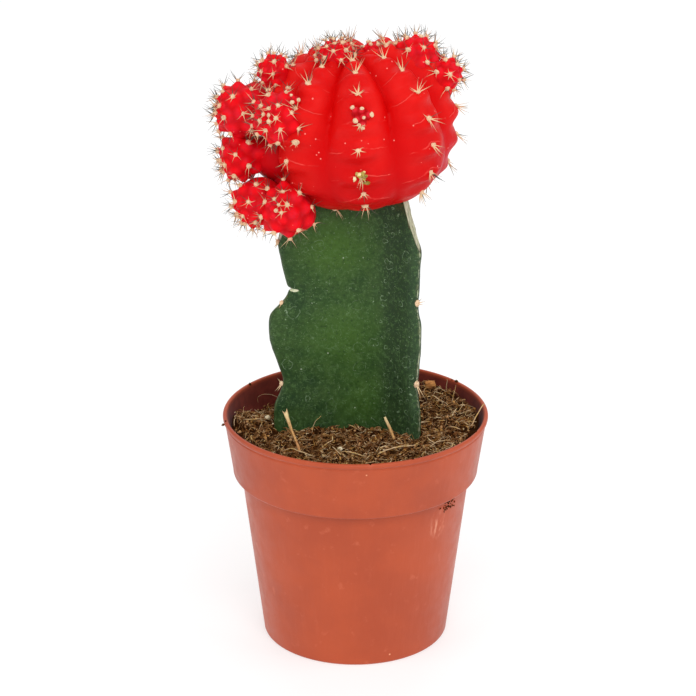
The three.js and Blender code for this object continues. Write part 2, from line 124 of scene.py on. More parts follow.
def smoothPath(knots, count):
    # A curve through the knots: each stretch is a cubic whose slopes at its ends are half the step
    # between the neighbouring knots
    knots = np.asarray(knots, float)
    padded = np.concatenate([2 * knots[:1] - knots[1:2], knots, 2 * knots[-1:] - knots[-2:-1]])
    place = np.linspace(0, len(knots) - 1, count)
    cell = np.minimum(place.astype(int), len(knots) - 2)
    t = (place - cell)[:, None]
    a, b, c, d = (padded[cell + i] for i in range(4))
    return b + 0.5 * t * (c - a + t * (2 * a - 5 * b + 4 * c - d + t * (3 * (b - c) + d - a)))


def mostlySmall(least, more, power, count):
    # Random sizes from least to least + more, with fewer big ones the higher the power
    return least + more * draw.random((count, 1)) ** power


# Helpers for meshes

def ringFaces(rows, around, first=0):
    # Four-cornered faces between closed rings listed upwards, each ring anticlockwise seen from above
    i = first + np.arange(rows - 1)[:, None] * around
    j = np.arange(around)
    k = (j + 1) % around
    return np.stack([i + j, i + k, i + around + k, i + around + j], axis=-1).reshape(-1, 4)


def closedSkin(start, rings, end):
    # A start point, rings of points and an end point become one closed skin
    rows, around = rings.shape[:2]
    points = np.concatenate([[start], rings.reshape(-1, 3), [end]])
    last = len(points) - 1
    j = np.arange(around)
    k = (j + 1) % around
    low = np.stack([0 * j, 1 + k, 1 + j], axis=-1)
    high = np.stack([last - around + j, last - around + k, 0 * j + last], axis=-1)
    return points, [ringFaces(rows, around, 1), low, high]


def repeatSkins(rings, start, end):
    # The same for many small skins at once: rings is (copies, rows, around, 3), start and end (copies, 3)
    copies, rows, around = rings.shape[:3]
    points, faces = closedSkin(start[0], rings[0], end[0])
    each = len(points)
    points = np.concatenate([start[:, None], rings.reshape(copies, -1, 3), end[:, None]], axis=1)
    shift = np.arange(copies)[:, None, None] * each
    return points.reshape(-1, 3), [(group + shift).reshape(-1, group.shape[1]) for group in faces]


def tubesAlong(paths, radii, sides):
    # Each path (copies, steps, 3) becomes a closed tube: circles of the given radii (copies, steps)
    # stand square to the path, and its two ends are points
    tangent = unit(np.gradient(paths, axis=1))
    chord = unit(paths[:, -1] - paths[:, 0])
    upright = np.abs(chord[:, 2:]) < 0.85
    helper = np.where(upright, [[0.0, 0.0, 1.0]], [[1.0, 0.0, 0.0]])[:, None]
    across = unit(np.cross(tangent, helper))
    square = np.cross(tangent, across)
    angle = evenAngles(sides)[:, None]
    spoke = across[:, :, None] * np.cos(angle) + square[:, :, None] * np.sin(angle)
    rings = paths[:, :, None] + radii[:, :, None, None] * spoke
    return repeatSkins(rings, paths[:, 0], paths[:, -1])


def spreadAlong(values, steps, sides):
    # One value a step (copies, steps) becomes one value a point of the tubes
    ring = np.repeat(values[:, :, None], sides, axis=2).reshape(len(values), -1)
    return np.concatenate([values[:, :1], ring, values[:, -1:]], axis=1).ravel()


def layMesh(name, points, faceGroups, attributes=None):
    # Points in millimetres; each group holds faces with one number of corners
    mesh = bpy.data.meshes.new(name)
    corners = np.concatenate([group.ravel() for group in faceGroups])
    sizes = np.concatenate([np.full(len(group), group.shape[1]) for group in faceGroups])
    starts = np.concatenate([[0], np.cumsum(sizes)[:-1]])
    mesh.vertices.add(len(points))
    mesh.vertices.foreach_set("co", np.asarray(points * mm, np.float32).ravel())
    mesh.loops.add(len(corners))
    mesh.loops.foreach_set("vertex_index", corners.astype(np.int32))
    mesh.polygons.add(len(sizes))
    mesh.polygons.foreach_set("loop_start", starts.astype(np.int32))
    mesh.update(calc_edges=True)
    mesh.polygons.foreach_set("use_smooth", np.ones(len(sizes), bool))
    for key, values in (attributes or {}).items():
        paint(mesh, key, values)
    return mesh


def paint(mesh, key, values):
    # One number a point, which the materials read by its key
    layer = mesh.attributes.new(key, "FLOAT", "POINT")
    layer.data.foreach_set("value", np.asarray(values, np.float32))


def addObject(name, data):
    # Puts a mesh, a light or a camera into the scene
    made = bpy.data.objects.new(name, data)
    bpy.context.scene.collection.objects.link(made)
    return made


def addPiece(name, mesh, material, stands=()):
    # A finished piece of the part; stands names the nodes it replaces
    piece = addObject(name, mesh)
    mesh.materials.clear()
    mesh.materials.append(material)
    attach(piece, "root")
    if stands:
        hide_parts(*stands)
    mesh.calc_loop_triangles()
    print(f"{name}: {len(mesh.loop_triangles)} triangles")
    return piece


def meshPoints(mesh):
    # A mesh's points in millimetres
    values = np.zeros(len(mesh.vertices) * 3, np.float32)
    mesh.vertices.foreach_get("co", values)
    return values.reshape(-1, 3).astype(float) / mm


def searchTree(mesh):
    # Finds the nearest place on a mesh
    return BVHTree.FromPolygons([v.co for v in mesh.vertices], [list(p.vertices) for p in mesh.polygons])


def isOutside(tree, place, room=0.0):
    # Whether a place is outside a closed mesh, and further from it than that
    at = Vector(np.asarray(place) * mm)
    near, normal, _, distance = tree.find_nearest(at)
    return (at - near).dot(normal) > 0 and distance > room * mm


def bakedBoolean(owner, name, helpers, sharpFrom, **settings):
    # The mesh that a boolean with the helpers gives, smooth but for edges sharper than that many degrees;
    # the objects themselves are removed
    boolean = owner.modifiers.new("boolean", "BOOLEAN")
    for key, value in {"solver": "MANIFOLD", **settings}.items():
        setattr(boolean, key, value)
    mesh = bpy.data.meshes.new_from_object(owner.evaluated_get(bpy.context.evaluated_depsgraph_get()))
    mesh.name = name
    for spare in [owner, *helpers]:
        bpy.data.objects.remove(spare)
    mesh.polygons.foreach_set("use_smooth", np.ones(len(mesh.polygons), bool))
    mesh.set_sharp_from_angle(angle=math.radians(sharpFrom))
    return mesh


def jewel(count):
    # The twenty-sided solid, as a start for small lumps
    long = (1 + math.sqrt(5)) / 2
    four = np.array([[-1, long, 0], [1, long, 0], [-1, -long, 0], [1, -long, 0]])
    corners = np.concatenate([np.roll(four, turn, axis=1) for turn in range(3)])
    faces = np.array([[0, 11, 5], [0, 5, 1], [0, 1, 7], [0, 7, 10], [0, 10, 11],
                      [1, 5, 9], [5, 11, 4], [11, 10, 2], [10, 7, 6], [7, 1, 8],
                      [3, 9, 4], [3, 4, 2], [3, 2, 6], [3, 6, 8], [3, 8, 9],
                      [4, 9, 5], [2, 4, 11], [6, 2, 10], [8, 6, 7], [9, 8, 1]])
    shift = np.arange(count)[:, None, None] * 12
    return unit(corners), (faces + shift).reshape(-1, 3)


def lumpsAt(places, sizes, rough=0.3):
    # Rough lumps: the twenty-sided solid stretched to each size (copies, 3), its corners pushed in or
    # out by lot, and turned at random
    corners, faces = jewel(len(places))
    push = 1 + rough * draw.uniform(-1, 1, (len(places), 12, 1))
    shaped = corners * push * sizes[:, None]
    first = unit(draw.normal(size=(len(places), 3)))
    second = unit(np.cross(first, draw.normal(size=(len(places), 3))))
    axes = np.stack([first, second, np.cross(first, second)], axis=1)
    return places[:, None] + shaped @ axes, faces


def lumpMesh(name, lumps, tones):
    points, faces = lumps
    return layMesh(name, points.reshape(-1, 3), [faces], {"tone": np.repeat(tones, points.shape[1])})


# Helpers for materials. On the bench is the one at work: its node tree, its shader and its colour so far

bench = {}


def startMaterial(name, roughness, specular, others=None):
    material = bpy.data.materials.new(name)
    material.use_nodes = True
    shader = material.node_tree.nodes["Principled BSDF"]
    for socket, value in {"Roughness": roughness, "Specular IOR Level": specular, **(others or {})}.items():
        shader.inputs[socket].default_value = value
    bench.update(material=material, tree=material.node_tree, shader=shader)


def add(kind, inputs=None, **settings):
    # A node with its settings; each input is a value or the socket of another node
    made = bench["tree"].nodes.new(kind)
    for key, value in settings.items():
        setattr(made, key, value)
    for key, value in (inputs or {}).items():
        if isinstance(value, bpy.types.NodeSocket):
            bench["tree"].links.new(value, made.inputs[key])
        else:
            made.inputs[key].default_value = value
    return made


def placeInMm(shift=(0, 0, 0), stretch=(1, 1, 1)):
    # Object coordinates in millimetres, moved and stretched
    place = add("ShaderNodeTexCoord").outputs["Object"]
    scale = [1000 * share for share in stretch]
    move = [-step * share for step, share in zip(shift, stretch)]
    return add("ShaderNodeMapping", {"Vector": place, "Location": move, "Scale": scale}).outputs[0]


def axisOf(place, axis):
    # One coordinate of a place
    return add("ShaderNodeSeparateXYZ", {0: place}).outputs[axis]


def noise(place, size, detail=3.0, roughness=0.55):
    # Clouds of about that size in millimetres, from 0 to 1
    inputs = {"Vector": place, "Scale": 1 / size, "Detail": detail, "Roughness": roughness}
    return add("ShaderNodeTexNoise", inputs).outputs["Fac"]


def fade(value, low, high, start=0.0, end=1.0):
    # Start at low, end at high, and a smooth change between them
    inputs = {0: value, 1: low, 2: high, 3: start, 4: end}
    return add("ShaderNodeMapRange", inputs, interpolation_type="SMOOTHSTEP").outputs[0]


def calc(operation, first, second=0.0):
    return add("ShaderNodeMath", {0: first, 1: second}, operation=operation).outputs[0]


def times(first, *others):
    for other in others:
        first = calc("MULTIPLY", first, other)
    return first


def blend(share, under, over, kind="MIX"):
    # The tone over laid on the tone under, by a share from 0 to 1
    low, high = (tone if isinstance(tone, bpy.types.NodeSocket) else (*tone, 1) for tone in (under, over))
    return add("ShaderNodeMix", {0: share, 6: low, 7: high}, data_type="RGBA", blend_type=kind).outputs[2]


def ground(share, under, over):
    # The colour to start from
    bench["colour"] = blend(share, under, over)


def coat(share, tone, kind="MIX"):
    # Lays a tone over the colour so far
    bench["colour"] = blend(share, bench["colour"], tone, kind)


def painted(key):
    # What a mesh was painted with
    return add("ShaderNodeAttribute", attribute_name=key).outputs["Fac"]


def nearPlace(place, reach, stretch=(1, 1, 1)):
    # 1 at a place of the piece, fading to 0 at that reach, in millimetres; a stretch above 1 shortens
    # the reach along that axis
    distance = add("ShaderNodeVectorMath", {0: placeInMm(place, stretch)}, operation="LENGTH")
    return fade(distance.outputs["Value"], reach, 0.0)


def bump(height, depth, before=None):
    # Relief of that depth in millimetres, on top of the one before
    inputs = {"Height": height, "Distance": depth * mm, "Strength": 1.0}
    return add("ShaderNodeBump", {**inputs, "Normal": before} if before else inputs).outputs[0]


def finishMaterial(normal=None, roughness=None):
    # Ties the colour, the relief and the gloss to the shader
    for socket, value in (("Base Color", bench["colour"]), ("Normal", normal), ("Roughness", roughness)):
        if value:
            bench["tree"].links.new(value, bench["shader"].inputs[socket])
    return bench["material"]


def jitteredGrid(place, size, share):
    # The distance to the nearest point of a jittered grid, and 1 in that share of the grid's cells
    grid = add("ShaderNodeTexVoronoi", {"Vector": place, "Scale": 1 / size})
    return grid.outputs["Distance"], fade(grid.outputs["Color"], 1 - share, 1 - share + 0.02)


def specks(place, size, radius, share):
    # Round specks at some of the points of a jittered grid
    away, chosen = jitteredGrid(place, size, share)
    return times(fade(away, radius / size, 0.4 * radius / size), chosen)


def loops(place, size, radius, share):
    # Thin, uneven, broken rings round some of them
    away, chosen = jitteredGrid(place, size, share)
    middle, half = radius / size, 0.09 / size
    band = times(fade(away, middle - half, middle), fade(away, middle + half, middle))
    return times(band, chosen, fade(noise(place, 0.9, 3), 0.4, 0.6))


def warped(place, size, amount):
    # The place, pushed about by a noise of its own
    push = add("ShaderNodeTexNoise", {"Vector": place, "Scale": 1 / size, "Detail": 2.0}).outputs["Color"]
    centred = add("ShaderNodeVectorMath", {0: push, 1: (0.5, 0.5, 0.5)}, operation="SUBTRACT").outputs[0]
    inputs = {0: centred, 1: (amount, amount, amount), 2: place}
    return add("ShaderNodeVectorMath", inputs, operation="MULTIPLY_ADD").outputs[0]


# Camera, light and floor

cameraLook = {
    "place": (0.0, -0.5288, 0.2739),
    "pitchDown": 0.379,
    "turnLeft": 0.0029,
    "lens": 143.1,
}


def makeCamera():
    # A long lens that looks down on the part from the front
    camera = addObject("camera", bpy.data.cameras.new("camera"))
    camera.data.lens = cameraLook["lens"]
    camera.data.sensor_width = 36
    camera.data.clip_start = 0.01
    camera.location = cameraLook["place"]
    camera.rotation_euler = (math.pi / 2 - cameraLook["pitchDown"], 0, cameraLook["turnLeft"])
    bpy.context.scene.camera = camera


lightLook = {
    "sky": 0.46,
    "softboxes": [  # place, size and power
        {"place": (0.15, -1.1, 1.0), "size": 1.0, "power": 10.6},
        {"place": (-0.9, -0.5, 0.8), "size": 0.8, "power": 3.3},
        {"place": (0.95, -0.2, 0.7), "size": 0.8, "power": 3.2},
        {"place": (0.0, 0.8, 1.1), "size": 1.0, "power": 4.4},
    ],
    "aim": (0.0, 0.0, 0.07),
    "floorHalf": 3000.0,
    "floorTone": 0.55,
    "floorGlow": 0.5,
}


def makeLight():
    # A white room with softboxes in front, on both sides and behind
    world = bpy.data.worlds.new("whiteRoom")
    world.use_nodes = True
    world.node_tree.nodes["Background"].inputs["Color"].default_value = (1, 1, 1, 1)
    world.node_tree.nodes["Background"].inputs["Strength"].default_value = lightLook["sky"]
    bpy.context.scene.world = world
    for i, box in enumerate(lightLook["softboxes"]):
        lamp = addObject(f"softbox{i}", bpy.data.lights.new(f"softbox{i}", "AREA"))
        lamp.data.energy, lamp.data.size = box["power"], box["size"]
        lamp.location = box["place"]
        way = Vector(lightLook["aim"]) - Vector(box["place"])
        lamp.rotation_euler = way.to_track_quat("-Z", "Y").to_euler()
    bpy.context.scene.view_settings.view_transform = "Standard"


def makeFloor():
    # A pale floor that glows a little, so that it stays nearly white
    half = lightLook["floorHalf"]
    corners = np.array([[-half, -half, 0], [half, -half, 0], [half, half, 0], [-half, half, 0]])
    floor = addObject("studio_floor", layMesh("studio_floor", corners, [np.array([[0, 1, 2, 3]])]))
    glow = {"Emission Color": (1, 1, 1, 1), "Emission Strength": lightLook["floorGlow"]}
    startMaterial("studioWhite", 0.9, 0.1, glow)
    tone = lightLook["floorTone"]
    ground(noise(placeInMm(), 40), (tone, tone, tone), (tone - 0.01, tone - 0.01, tone - 0.008))
    floor.data.materials.append(finishMaterial())


# Pot

potShape = {
    "rimRadius": potHigh[0],
    "height": potHigh[2],
    "collarHeight": 13.0,
    "collarFootRadius": 25.5,
    "bodyTopRadius": 23.8,
    "footRadius": 19.4,
    "wall": 0.9,
    "base": 1.1,
    "underside": 0.35,  # the base's underside hangs that far above the foot
    "sways": [(2, 0.0012, 0.7), (3, 0.0007, 2)],  # waves round the wall, depth as a share, and turn
    "drainHoles": 6,
    "drainRadius": 2.0,
    "drainCircle": 12.5,
    "line": 1.4,  # how far a moulded line lies below the rim
    "sharpFrom": 50,
    "around": 224,
}
ledge = potShape["height"] - potShape["collarHeight"]


def arc(centre, radius, start, end, count):
    # Points on a circle in the profile's plane, from one angle to the other, in degrees
    return np.array(centre) + radius * circle(np.radians(np.linspace(start, end, count)))


def line(start, end, count):
    # Evenly spaced points from start to end
    return lerp(np.array(start), np.array(end), np.linspace(0, 1, count)[:, None])


def potProfile():
    # From the centre of the base out, up the outside, over the rim and down the inside, as
    # (radius, height) pairs: straight tapered walls joined by small arcs
    p = potShape
    rim, top, wall = p["rimRadius"], p["height"], p["wall"]
    foot, body, collar = p["footRadius"], p["bodyTopRadius"], p["collarFootRadius"]
    groove = top - p["line"]
    atGroove = lerp(collar, rim - 0.25, (groove - ledge) / p["collarHeight"])
    return np.concatenate([
        line((2.0, p["underside"]), (foot - 2.2, p["underside"]), 6),
        line((foot - 1.8, 0.0), (foot - 0.7, 0.0), 3),
        arc((foot - 0.6, 0.6), 0.6, -80, -6, 6),
        line((foot + 0.06, 1.1), (body - 0.05, ledge - 0.5), 22),
        line((body + 0.1, ledge - 0.12), (collar - 0.9, ledge), 3),
        arc((collar - 0.62, ledge + 0.62), 0.62, -85, -8, 7),
        line((collar + 0.06, ledge + 1.3), (atGroove - 0.02, groove - 0.4), 8),
        arc((atGroove + 0.22, groove), 0.3, 225, 135, 5),
        arc((rim - 0.4, top - 0.62), 0.4, -40, 0, 4),
        arc((rim - 0.45, top - 0.45), 0.45, 8, 172, 11),
        line((rim - wall - 0.12, top - 0.9), (collar - wall, ledge + wall), 12),
        line((body - wall, ledge - 0.4), (foot - wall + 0.1, p["base"] + 0.5), 16),
        line((foot - wall - 0.4, p["base"]), (2.0, p["base"]), 6),
    ])


def potMesh():
    # The profile is turned round the upright axis; a moulded wall is never quite round, so its radius
    # swells and shrinks by a few hundredths
    profile = potProfile()
    angle = evenAngles(potShape["around"])
    sway = sum((depth * np.sin(waves * angle + turn) for waves, depth, turn in potShape["sways"]), 1)
    radius = profile[:, :1] * sway
    rings = np.stack([radius * np.cos(angle), radius * np.sin(angle), 0 * radius + profile[:, 1:]], axis=-1)
    points, faces = closedSkin([0, 0, potShape["underside"]], rings, [0, 0, potShape["base"]])
    return layMesh("pot_shell", points, faces)


def collarInside(z):
    # The radius of the collar's inner wall at a height, on a straight taper
    share = (z - ledge) / potShape["collarHeight"]
    return lerp(potShape["collarFootRadius"], potShape["rimRadius"] - 0.4, share) - potShape["wall"]


def drillDrains(mesh):
    # Round holes through the base, cut at once
    centre = potShape["drainCircle"] * circle(evenAngles(potShape["drainHoles"]))
    paths = np.zeros((len(centre), 2, 3))
    paths[:, :, :2] = centre[:, None]
    paths[:, :, 2] = [-1.0, 3.0]
    points, faces = tubesAlong(paths, np.full((len(centre), 2), potShape["drainRadius"]), 32)
    drill = addObject("potDrill", layMesh("potDrill", points, faces))
    blank = addObject("potBlank", mesh)
    return bakedBoolean(blank, "pot_shell", [drill], potShape["sharpFrom"],
                        operation="DIFFERENCE", object=drill)


potFinish = {
    "sheen": {"Sheen Weight": 0.08, "Sheen Roughness": 0.4},
    "clay": (0.475, 0.078, 0.026),
    "deepClay": (0.415, 0.067, 0.024),
    "streak": (0.53, 0.105, 0.045),
    "fleck": (0.88, 0.4, 0.22),
    "soot": (0.09, 0.03, 0.02),
    "smear": (0.62, 0.15, 0.075),
    "ledgeShade": (0.36, 0.06, 0.025),
    "scuff": (0.78, 0.32, 0.2),
    "scuffPlace": (17.2, -16.2, 30.4),
    # the inner wall's two tones are painted shade over a stain
    "shadedStain": (0.13, 0.018, 0.013),
    "inside": (0.2, 0.03, 0.02),
}


def potPlastic():
    # Satin terracotta plastic: cloudy warm colour, faint upright streaks, pale flecks, a little grime,
    # painted shade in a patchy band under the ledge, and a dark inside that is painted shade over a stain
    tones = potFinish
    startMaterial("potPlastic", 0.42, 0.26, tones["sheen"])
    place, upright = placeInMm(), placeInMm(stretch=(1, 1, 0.06))
    clouds = noise(place, 16, 4)
    ground(fade(clouds, 0.35, 0.68), tones["clay"], tones["deepClay"])
    coat(fade(noise(upright, 1.1, 3), 0.5, 0.85, 0, 0.2), tones["streak"])
    coat(times(specks(place, 4.4, 0.26, 0.26), 0.9), tones["fleck"])
    coat(times(specks(placeInMm((3, 5, 2)), 6.5, 0.2, 0.2), 0.8), tones["soot"])
    coat(times(fade(noise(place, 2.6, 5), 0.6, 0.75), 0.35), tones["smear"])
    # painted shade: a patchy darker band just under the collar's ledge, where the collar overhangs
    shade = fade(axisOf(place, "Z"), ledge - 3.0, ledge, 0, 0.3)
    coat(times(shade, fade(clouds, 0.3, 0.6)), tones["ledgeShade"])
    scratches = fade(noise(placeInMm(stretch=(1, 1, 0.3)), 1.0, 3), 0.48, 0.62, 0, 0.7)
    coat(times(nearPlace(tones["scuffPlace"], 4.2, (1.3, 1.3, 0.9)), scratches), tones["scuff"])
    # painted shade over a stain: the collar's inner wall is darkened to a cloudy deep red-brown
    inside = painted("inside")
    coat(times(inside, 0.92), blend(fade(noise(place, 3.2, 4), 0.35, 0.65), tones["shadedStain"], tones["inside"]))
    relief = bump(noise(upright, 0.9, 2), 0.02, bump(noise(place, 0.35, 2), 0.012))
    gloss = fade(noise(place, 3.0, 4), 0.3, 0.7, 0.37, 0.5)
    return finishMaterial(relief, calc("ADD", gloss, times(inside, 0.35)))


def paintInside(mesh):
    # 1 on the collar's inner wall, fading out over the rim; there the material paints shade over a stain
    points = meshPoints(mesh)
    share = (points[:, 2] - ledge) / potShape["collarHeight"]
    middle = lerp(potShape["collarFootRadius"], potShape["rimRadius"], share) - potShape["wall"] / 2
    within = easeBetween(0.0, 0.25, middle - np.hypot(points[:, 0], points[:, 1]))
    within = within * easeBetween(0, 0.1, share)
    paint(mesh, "inside", within * easeBetween(0.1, 0.7, potShape["height"] - points[:, 2]))


# Stem

stemShape = {
    "axis": (-0.3, 4.2),
    "foot": stemLow[2],
    "top": 97.0,
    "bevelFoot": 86.0,
    "trimmedReach": 12.1,
    "margin": 1.35,
    # each rib runs along a heading and is trimmed square to another; its notches give height, reach
    # and the bulge below that notch; its areoles give their heights
    "ribs": [
        {"heading": 79.4, "trimHeading": 79.4, "areoles": (73.7, 53.4),
         "notches": [[94, 14.4, 1.2], [73.7, 14.2, 1.4], [53.4, 14.4, 1.2], [33.1, 14.2, 0]]},
        {"heading": 194.5, "trimHeading": 194.5, "areoles": (86.3, 73.0, 55.2),
         "notches": [[96.2, 13.8, 2.2], [75.9, 13.7, 3.5], [56.4, 15.3, 1.8], [36, 15.6, 0]]},
        {"heading": 321.5, "trimHeading": 345.0, "areoles": (75.4, 57.8),
         "notches": [[95.5, 16.3, 0.5], [75.4, 16.2, 0.9], [57.8, 16.2, 0.9], [36, 16.2, 0]]},
    ],
    "valleys": [[-3.8, 6.6], [5, 0.2], [3.6, 5.2]],
    "crease": 2.5,
    "cutSwell": 0.35,  # how much of the swells is left where the knife cut
    "swells": [(8.5, 0.3, 0.6), (2.6, 0.09, 1), (1.0, 0.035, 1)],  # size, depth, and share of its height
    "buried": 42.0,  # below this the rows are coarse
    "marginPoints": 25,
    "facePoints": 58,
}
stemNick = {"height": 76.0, "depth": 0.8, "half": 0.36}  # a healed cut in the left margin


def marginReach(rib, z):
    # How far a rib's margin stands from the axis: it swells below each notch, then tapers to the next
    notches = np.array(rib["notches"], float)
    row = (z[:, None] <= notches[1:-1, 0]).sum(axis=1)
    high, low = notches[row], notches[row + 1]
    fall = np.clip((high[:, 0] - z) / (high[:, 0] - low[:, 0]), 0, 1)
    bulge = high[:, 2] * np.sin(math.pi * fall ** 0.72) * easeBetween(0, 0.3, fall)
    return lerp(high[:, 1], low[:, 1], fall) + bulge


def stemRings(z):
    # The stem's outline at each height: three round margins, joined by faces that are conic curves
    # pulled in to a crease; above the bevel's foot what stands out too far is cut back square to its rib.
    # Also gives the ways out, how much is cut away, and how near each point is to each margin's edge
    shape = stemShape
    axis = np.array(shape["axis"])
    heading = np.radians([rib["heading"] for rib in shape["ribs"]])
    way = circle(heading)
    reach = np.stack([marginReach(rib, z) for rib in shape["ribs"]], axis=-1)
    centre = axis + way * (reach - shape["margin"])[..., None]
    swing = heading[:, None] + np.radians(np.linspace(-75, 75, shape["marginPoints"]))
    margin = centre[:, :, None] + shape["margin"] * circle(swing)
    t = np.arange(1, shape["facePoints"] + 1)[:, None] / (shape["facePoints"] + 1)
    a, b, c = (1 - t) ** 2, 2 * shape["crease"] * t * (1 - t), t * t
    tip = np.cos(np.linspace(-math.pi / 2, math.pi / 2, shape["marginPoints"]))[:, None]
    outline, edges = [], []
    for i in range(3):
        start, end = margin[:, i, -1:], margin[:, (i + 1) % 3, :1]
        face = (a * start + b * np.array(shape["valleys"][i]) + c * end) / (a + b + c)
        outline += [margin[:, i], face]
        edges += [tip * (np.arange(3) == i), np.zeros((len(t), 3))]
    outline = np.concatenate(outline, axis=1)
    cutAway = np.zeros(outline.shape[:2])
    trim = np.clip((z - shape["bevelFoot"]) / (shape["top"] - shape["bevelFoot"]), 0, 1)
    for i, rib in enumerate(shape["ribs"]):
        square = circle(math.radians(rib["trimHeading"]))
        full = (reach[:, i] - shape["margin"]) * (square @ way[i]) + shape["margin"]
        cut = lerp(full, shape["trimmedReach"], trim)[:, None]
        over = np.maximum((outline - axis) @ square - cut, 0) * (trim[:, None] > 0)
        outline = outline - over[..., None] * square
        cutAway = cutAway + over
    side = np.roll(outline, -1, axis=1) - np.roll(outline, 1, axis=1)
    outward = unit(np.stack([side[..., 1], -side[..., 0]], axis=-1))
    return outline, outward, cutAway, np.broadcast_to(np.concatenate(edges), (*cutAway.shape, 3))


def stemMesh():
    # The outlines are stacked; the faces get low swells and dents, and one nick in the left margin
    shape = stemShape
    low, top = shape["buried"], shape["top"]
    z = np.concatenate([np.linspace(shape["foot"], low, 9), np.linspace(low + 0.3, top, 186)])
    outline, outward, cutAway, edges = stemRings(z)
    heights = np.broadcast_to(z[:, None], cutAway.shape)
    rings = np.concatenate([outline, heights[..., None]], axis=-1)
    swell = sum(depth * cloud(rings * [1, 1, high], size) for size, depth, high in shape["swells"])
    swell = swell * np.where(cutAway > 0.01, shape["cutSwell"], 1.0)
    nick = np.exp(-((heights - stemNick["height"]) / stemNick["half"]) ** 2)
    nick = nick * easeBetween(0.1, 0.9, edges[..., 1])
    rings[..., :2] += outward * (swell - stemNick["depth"] * nick)[..., None]
    axis = np.array(shape["axis"])
    points, faces = closedSkin([*axis, shape["foot"]], rings, [*axis, shape["top"]])
    paints = {"cut": cutAway, "scar": nick, "rightEdge": edges[..., 2], "anyEdge": edges.max(axis=-1)}
    paints = {key: np.concatenate([[0], values.ravel(), [0]]) for key, values in paints.items()}
    return layMesh("stem_skin", points, faces, paints)


stemFinish = {
    "glow": {"Subsurface Weight": 0.08, "Subsurface Radius": (0.5, 1.0, 0.3), "Subsurface Scale": 0.001},
    "deep": (0.014, 0.042, 0.011),
    "green": (0.036, 0.078, 0.018),
    "lit": (0.058, 0.14, 0.012),
    "litSpots": [((-4.3, -2, 86), 13, 0.75), ((-2.4, -3, 66), 15, 0.55), ((1, -3, 52), 10, 0.5)],
    "shaded": (0.016, 0.036, 0.012),
    "grey": (0.034, 0.066, 0.032),
    "palePatch": (0.08, 0.16, 0.05),
    "darkPatch": (0.009, 0.028, 0.007),
    "hair": (0.14, 0.24, 0.1),
    "pore": (0.2, 0.32, 0.15),
    "dot": (0.36, 0.47, 0.3),
    "brightDot": (0.7, 0.78, 0.6),
    "ring": (0.21, 0.31, 0.18),
    "cork": (0.2, 0.21, 0.1),
    "rightLine": (0.5, 0.53, 0.36),
    "dried": (0.1, 0.06, 0.02),
    "driedPlace": (7.6, -5.5, 97),
    "flesh": (0.52, 0.51, 0.35),
    "fleshShade": (0.26, 0.26, 0.15),
    "cutRim": (0.06, 0.055, 0.025),
    "healed": (0.66, 0.68, 0.46),
    "healedPlace": (-12.7, -0.3, 76.0),
}


def stemSkin():
    # Dark waxy skin: mottled green, yellower in the middle and greyer on the right, with many pale pores,
    # faint ring-shaped marks, corky edges, and cream flesh where the knife trimmed the ribs
    tones = stemFinish
    startMaterial("stemSkin", 0.5, 0.2, tones["glow"])
    place = placeInMm()
    uneven = warped(place, 1.3, 1.1)
    mottle, fine = noise(place, 4.5, 5, 0.62), noise(place, 0.7, 4, 0.7)
    across = axisOf(place, "X")
    ground(fade(mottle, 0.32, 0.68), tones["deep"], tones["green"])
    for spot, reach, strength in tones["litSpots"]:
        coat(times(nearPlace(spot, reach), strength), tones["lit"])
    coat(times(fade(across, 3.5, 7.5), fade(across, 12.0, 8.5, 0.35, 0.75)), tones["shaded"])
    coat(fade(across, 9.0, 12.0, 0, 0.5), tones["grey"])
    coat(fade(fine, 0.5, 0.7, 0, 0.6), tones["palePatch"])
    coat(fade(fine, 0.48, 0.28, 0, 0.6), tones["darkPatch"])
    # thin broken lines, where a fine noise passes its middle
    contour = fade(calc("ABSOLUTE", calc("SUBTRACT", noise(place, 0.75, 2), 0.5)), 0.028, 0.004)
    coat(times(contour, fade(noise(place, 1.0, 3), 0.5, 0.62, 0, 0.55)), tones["hair"])
    coat(times(specks(uneven, 0.55, 0.11, 0.42), 0.6), tones["pore"])
    rightward = fade(across, 0, 9, 0.5, 1.0)
    coat(times(specks(uneven, 1.05, 0.15, 0.3), rightward), tones["dot"])
    coat(times(specks(place, 2.6, 0.2, 0.3), rightward), tones["brightDot"])
    edgewise = fade(calc("ABSOLUTE", calc("ADD", across, 2.0)), 3, 9, 0.35, 0.85)
    small = times(loops(uneven, 1.9, 0.5, 0.5), fade(across, 2, 7, 0.3, 1.0))
    rings = calc("MAXIMUM", loops(uneven, 4.6, 1.25, 0.5), small)
    coat(times(rings, edgewise), tones["ring"])
    corky = fade(noise(place, 1.4, 4), 0.48, 0.65)
    coat(times(fade(painted("anyEdge"), 0.8, 1.0, 0, 0.4), corky), tones["cork"])
    scraped = fade(noise(place, 1.1, 4), 0.4, 0.62)
    coat(times(fade(painted("rightEdge"), 0.975, 1.0, 0, 0.8), scraped), tones["rightLine"])
    coat(times(nearPlace(tones["driedPlace"], 4.5), fade(fine, 0.4, 0.6)), tones["dried"])
    cut = painted("cut")
    strands = fade(noise(placeInMm(stretch=(1, 1, 0.2)), 0.5, 3), 0.4, 0.66)
    flesh = blend(strands, tones["flesh"], tones["fleshShade"])
    coat(fade(cut, 0.005, 0.06), blend(fade(cut, 0.05, 0.4), tones["cutRim"], flesh))
    scar = nearPlace(tones["healedPlace"], 1.6, (1, 0.5, 3.2))
    scar = calc("MAXIMUM", fade(painted("scar"), 0.25, 0.6), scar)
    coat(fade(scar, 0.1, 0.4), tones["healed"])
    relief = bump(mottle, 0.12, bump(fine, 0.08, bump(rings, 0.04)))
    return finishMaterial(relief, fade(fine, 0.3, 0.7, 0.42, 0.62))


# Globes: the mother and the offsets that bud from it

